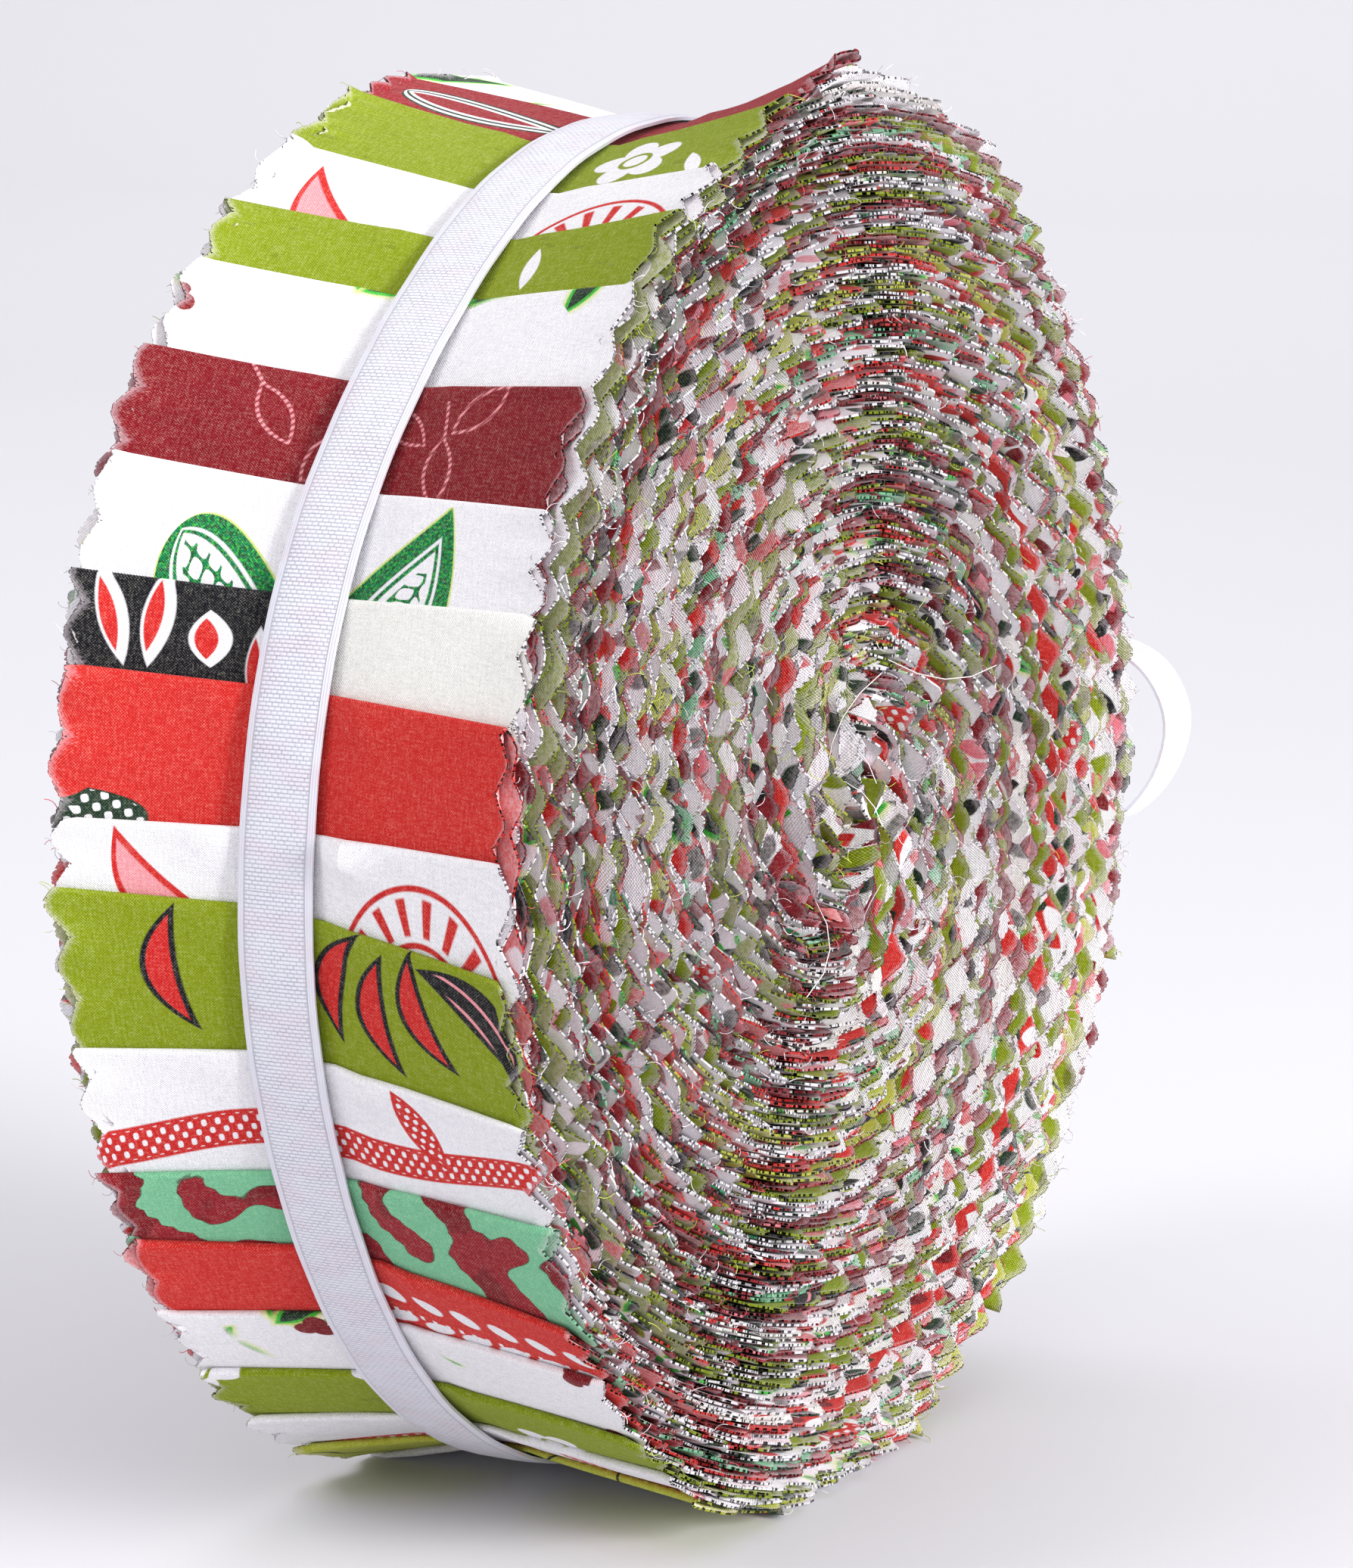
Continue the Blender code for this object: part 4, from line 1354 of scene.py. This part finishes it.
# %% Rows of points for each stretch of ribbon
def ribbon_mesh(runs):
    """A mesh from stretches of ribbon: each is its rows of points, and whether its ends meet."""
    verts, faces, uvs = [], [], []
    for rows, closed in runs:
        start = len(verts)
        width = len(rows[0])
        length = 0.0
        marks = []
        for j, row in enumerate(rows):
            if j:
                length += (Vector(row[width // 2]) - Vector(rows[j - 1][width // 2])).length
            marks.append(length)
            verts += [tuple(p) for p in row]
        count = len(rows) if closed else len(rows) - 1
        for j in range(count):
            k = (j + 1) % len(rows)
            there = marks[k] if k else length + (Vector(rows[0][0]) - Vector(rows[-1][0])).length
            for c in range(width - 1):
                faces.append((start + j * width + c, start + j * width + c + 1,
                              start + k * width + c + 1, start + k * width + c))
                v0, v1 = c / (width - 1) - 0.5, (c + 1) / (width - 1) - 0.5
                uvs += [(marks[j], v0 * RIBBON_WIDTH), (marks[j], v1 * RIBBON_WIDTH),
                        (there, v1 * RIBBON_WIDTH), (there, v0 * RIBBON_WIDTH)]
    mesh = bpy.data.meshes.new("ribbon")
    mesh.from_pydata(verts, [], faces)
    layer = mesh.uv_layers.new(name="cloth")
    layer.data.foreach_set("uv", np.array(uvs, np.float32).ravel())
    return mesh


def belt_rows():
    """The ribbon round the waist: taut over each fold, and a hair lower between folds."""
    rows = []
    steps = 6 * STRIPS
    for j in range(steps):
        angle = 2.0 * math.pi * j / steps
        row = []
        for c in range(ACROSS):
            v = c / (ACROSS - 1) - 0.5
            crown = -BELT_CROWN * (2.0 * v) ** 4
            radius = WAIST_RADIUS + waist_sag(angle) + BELT_OUT + crown
            radius += 0.05 * MM * math.sin(40 * angle + 3.0 * v)
            x = ribbon_place(angle) + v * RIBBON_WIDTH + 0.12 * MM * math.sin(9.0 * angle)
            row.append((x, AXIS_BACK - radius * math.cos(angle), AXIS_HEIGHT + radius * math.sin(angle)))
        rows.append(row)
    return rows


def loop_rows(side):
    """A bow loop: the ribbon stands on edge, its width pointing away from the roll."""
    rows = []
    for out, away, up, width in smooth_path(LOOP, 5):
        centre = AXIS + KNOT_CENTRE + MM * Vector((side * out, away, up))
        row = []
        for c in range(ACROSS):
            v = c / (ACROSS - 1) - 0.5
            row.append(tuple(centre + Vector((0.0, v * width * MM, 0.3 * MM * math.cos(math.pi * v)))))
        rows.append(row if side > 0 else row[::-1])
    return rows


def tail_rows(side):
    """A free end that hangs down behind the rim, its end cut on the slant."""
    points = smooth_path(TAIL, 5)
    rows = []
    for j, (out, away, up, width) in enumerate(points):
        centre = AXIS + KNOT_CENTRE + MM * Vector((side * out, away, up))
        slant = TAIL_SLANT * max(0.0, (j - len(points) + 6) / 5.0)
        row = []
        for c in range(ACROSS):
            v = c / (ACROSS - 1) - 0.5
            curl = 0.5 * MM * (2.0 * v) ** 2 + 0.25 * MM * math.sin(0.45 * j)
            row.append(tuple(centre + Vector((v * width * MM, curl, 2.0 * v * side * slant))))
        rows.append(row)
    return rows


def knot_rows():
    """The ribbon's last wrap round the knot, gathered in soft pleats."""
    rows = []
    steps = 40
    for j in range(steps):
        angle = 2.0 * math.pi * j / steps
        row = []
        for c in range(ACROSS):
            v = c / (ACROSS - 1) - 0.5
            pleat = PLEAT * math.cos(7.0 * math.pi * v + 1.2 * math.sin(angle))
            fall = 1.0 - 0.28 * (2.0 * v) ** 4
            y = (KNOT_DEEP * fall + pleat) * math.copysign(abs(math.cos(angle)) ** 0.75, math.cos(angle))
            z = (KNOT_TALL * fall + pleat) * math.copysign(abs(math.sin(angle)) ** 0.75, math.sin(angle))
            row.append(tuple(AXIS + KNOT_CENTRE + Vector((v * KNOT_WIDE, y, z))))
        rows.append(row)
    return rows


print("belt:", len(belt_rows()), "rows of", ACROSS, "points")

# %% [markdown]
# ## Weave of the ribbon
# Seen close, the ribbon is not a plain weave: short floats lie in rows like laid bricks, with slits
# between them, and a fine corded selvedge runs along each side. The floats come from the fractional part
# of the flat coordinates, shifted by half a float in every second row. The shade in the slits, between
# the cords, in the groove beside each selvedge and along a few pulled threads is painted into the colour
# as grey-lilac, and in the slits and between the cords it is stronger in some places than in others. A
# faint blush keeps the white from looking like plastic.

# %% Weave of the ribbon
FLOAT_HIGH = 0.5
FLOAT_WIDE = 0.84
SELVEDGE = 4.05
CORD_WIDE = 0.33


def woven_ribbon():
    """White ribbon: rows of short floats laid like bricks, between two corded edges."""
    c = Cloth("woven_ribbon_finish")
    row = c.u / FLOAT_HIGH
    shifted = c.v / FLOAT_WIDE + 0.5 * row.calc("FLOOR").calc("FLOORED_MODULO", 2.0)
    gap_row = (row.calc("FRACT") - 0.5).size() * 2.0
    gap_end = (shifted.calc("FRACT") - 0.5).size() * 2.0
    round_row = gap_row * gap_row * gap_row
    round_end = gap_end * gap_end * gap_end * gap_end
    # Painted shade: the slits between floats, with a rounded fall-off of each float towards them.
    gap = (0.8 * round_row + 0.9 * round_end * c.noise(0.9, 0.9, 0.0, 8.0)).at_most(1.0)
    edge = c.v.size()
    corded = edge.over(SELVEDGE, 0.1)
    cord = ((c.v * (TURN / CORD_WIDE)).wave() * 0.5 + 0.5) * 0.6
    # Painted shade in the groove beside each selvedge.
    groove = (0.10 - (edge - SELVEDGE).size()).over(0.0, 0.08)
    # dark is the painted shade in the slits and between the cords; it also gives the bump its depth.
    dark = gap * (1.0 - corded) + corded * cord * 0.55
    uneven_shade = c.noise(2.5, 5.0, 2.0, 3.0)
    blush = c.noise(3.0, 6.0, 0.0, 9.0).over(0.55, 0.2) * 0.35
    base = c.lay(colour(228, 228, 238), colour(232, 214, 224), blush)
    # Painted shade: grey-lilac laid over the ribbon's white where dark says, stronger in some places than
    # in others.
    ink = c.lay(base, colour(150, 149, 172), (dark * (0.25 + 0.75 * uneven_shade)).held())
    # Painted shade: thin grey streaks along a few pulled threads.
    pulled_thread_shade = c.noise(0.16, 3.0, 1.0, 6.0).over(0.80, 0.06) * (1.0 - corded)
    ink = c.lay(ink, colour(150, 148, 165), (groove * 0.45 + pulled_thread_shade * 0.5).held())
    join(c.tree, ink, c.shader.inputs["Base Color"])
    c.shader.inputs["Roughness"].default_value = 0.5
    c.shader.inputs["Specular IOR Level"].default_value = 0.35
    c.shader.inputs["Sheen Weight"].default_value = 0.15
    bump = c.tree.nodes.new("ShaderNodeBump")
    bump.inputs["Strength"].default_value = 0.6
    bump.inputs["Distance"].default_value = 0.0002
    join(c.tree, 1.0 - dark - groove, bump.inputs["Height"])
    c.tree.links.new(bump.outputs["Normal"], c.shader.inputs["Normal"])
    return c.material


ribbon_white = woven_ribbon()
print("ribbon finish:", len(ribbon_white.node_tree.nodes), "nodes")

# %% [markdown]
# The stretches are joined and given their thickness.
# its area, shared out over its width.

# %% Tie the ribbon
runs = [(belt_rows(), True), (loop_rows(1.0), False), (loop_rows(-1.0), False),
        (tail_rows(1.0), False), (tail_rows(-1.0), False), (knot_rows(), True)]
ribbon = new_piece("ribbon_tied", ribbon_mesh(runs))
make_cloth(ribbon, RIBBON_THICK, (ribbon_white,))
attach(ribbon, "root")
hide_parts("ribbon")

# %% [markdown]
# ## Floor, backdrop and light
# A studio sweep is one sheet that runs level under the object and curves up behind it, so that no
# corner shows. It is smooth-shaded and pale. Soft light comes from three area lamps: a large key from
# the upper left, a low fill from the right that reaches the pinked face, and one turned to the
# backdrop. The world adds an even pale light, which keeps the shadows open. The Standard view transform
# leaves the whites white.

# %% Floor and light
sweep = bpy.data.meshes.new("floor")
# Each point of the sweep's profile: depth and height, in metres.
profile = [(-2.5, 0.0), (1.2, 0.0), (1.5, 0.05), (1.75, 0.2), (1.9, 0.5), (1.95, 3.0)]
verts = [(x, y, z) for y, z in profile for x in (-4.0, 4.0)]
sweep.from_pydata(verts, [], [(2 * j, 2 * j + 1, 2 * j + 3, 2 * j + 2) for j in range(len(profile) - 1)])
floor = new_piece("floor", sweep)
for polygon in sweep.polygons:
    polygon.use_smooth = True
sweep.materials.append(plain("pale_floor", colour(213, 212, 217), 0.7))

world = bpy.data.worlds.new("studio")
bpy.context.scene.world = world
world.use_nodes = True
world.node_tree.nodes["Background"].inputs["Color"].default_value = (0.93, 0.93, 0.94, 1.0)
world.node_tree.nodes["Background"].inputs["Strength"].default_value = 0.86


def soft_light(name, place, aim, size, watts, spread=180.0):
    lamp = bpy.data.lights.new(name, "AREA")
    lamp.size = size
    lamp.energy = watts
    lamp.spread = math.radians(spread)
    obj = bpy.data.objects.new(name, lamp)
    bpy.context.scene.collection.objects.link(obj)
    obj.location = place
    obj.rotation_euler = (Vector(place) - Vector(aim)).to_track_quat("Z", "Y").to_euler()
    return obj


# Each lamp: place, aim, size in metres, watts, and where needed the spread of its beam in degrees.
soft_light("key", (-0.8, -1.1, 1.5), (0.0, 0.0, 0.08), 0.7, 9.3)
soft_light("fill", (1.45, -0.2, 0.42), (0.0, 0.0, 0.1), 0.6, 6.4, 70.0)
soft_light("backdrop", (-0.5, 1.0, 1.8), (-0.5, 2.1, 0.3), 1.2, 14.0)
bpy.context.scene.view_settings.view_transform = "Standard"
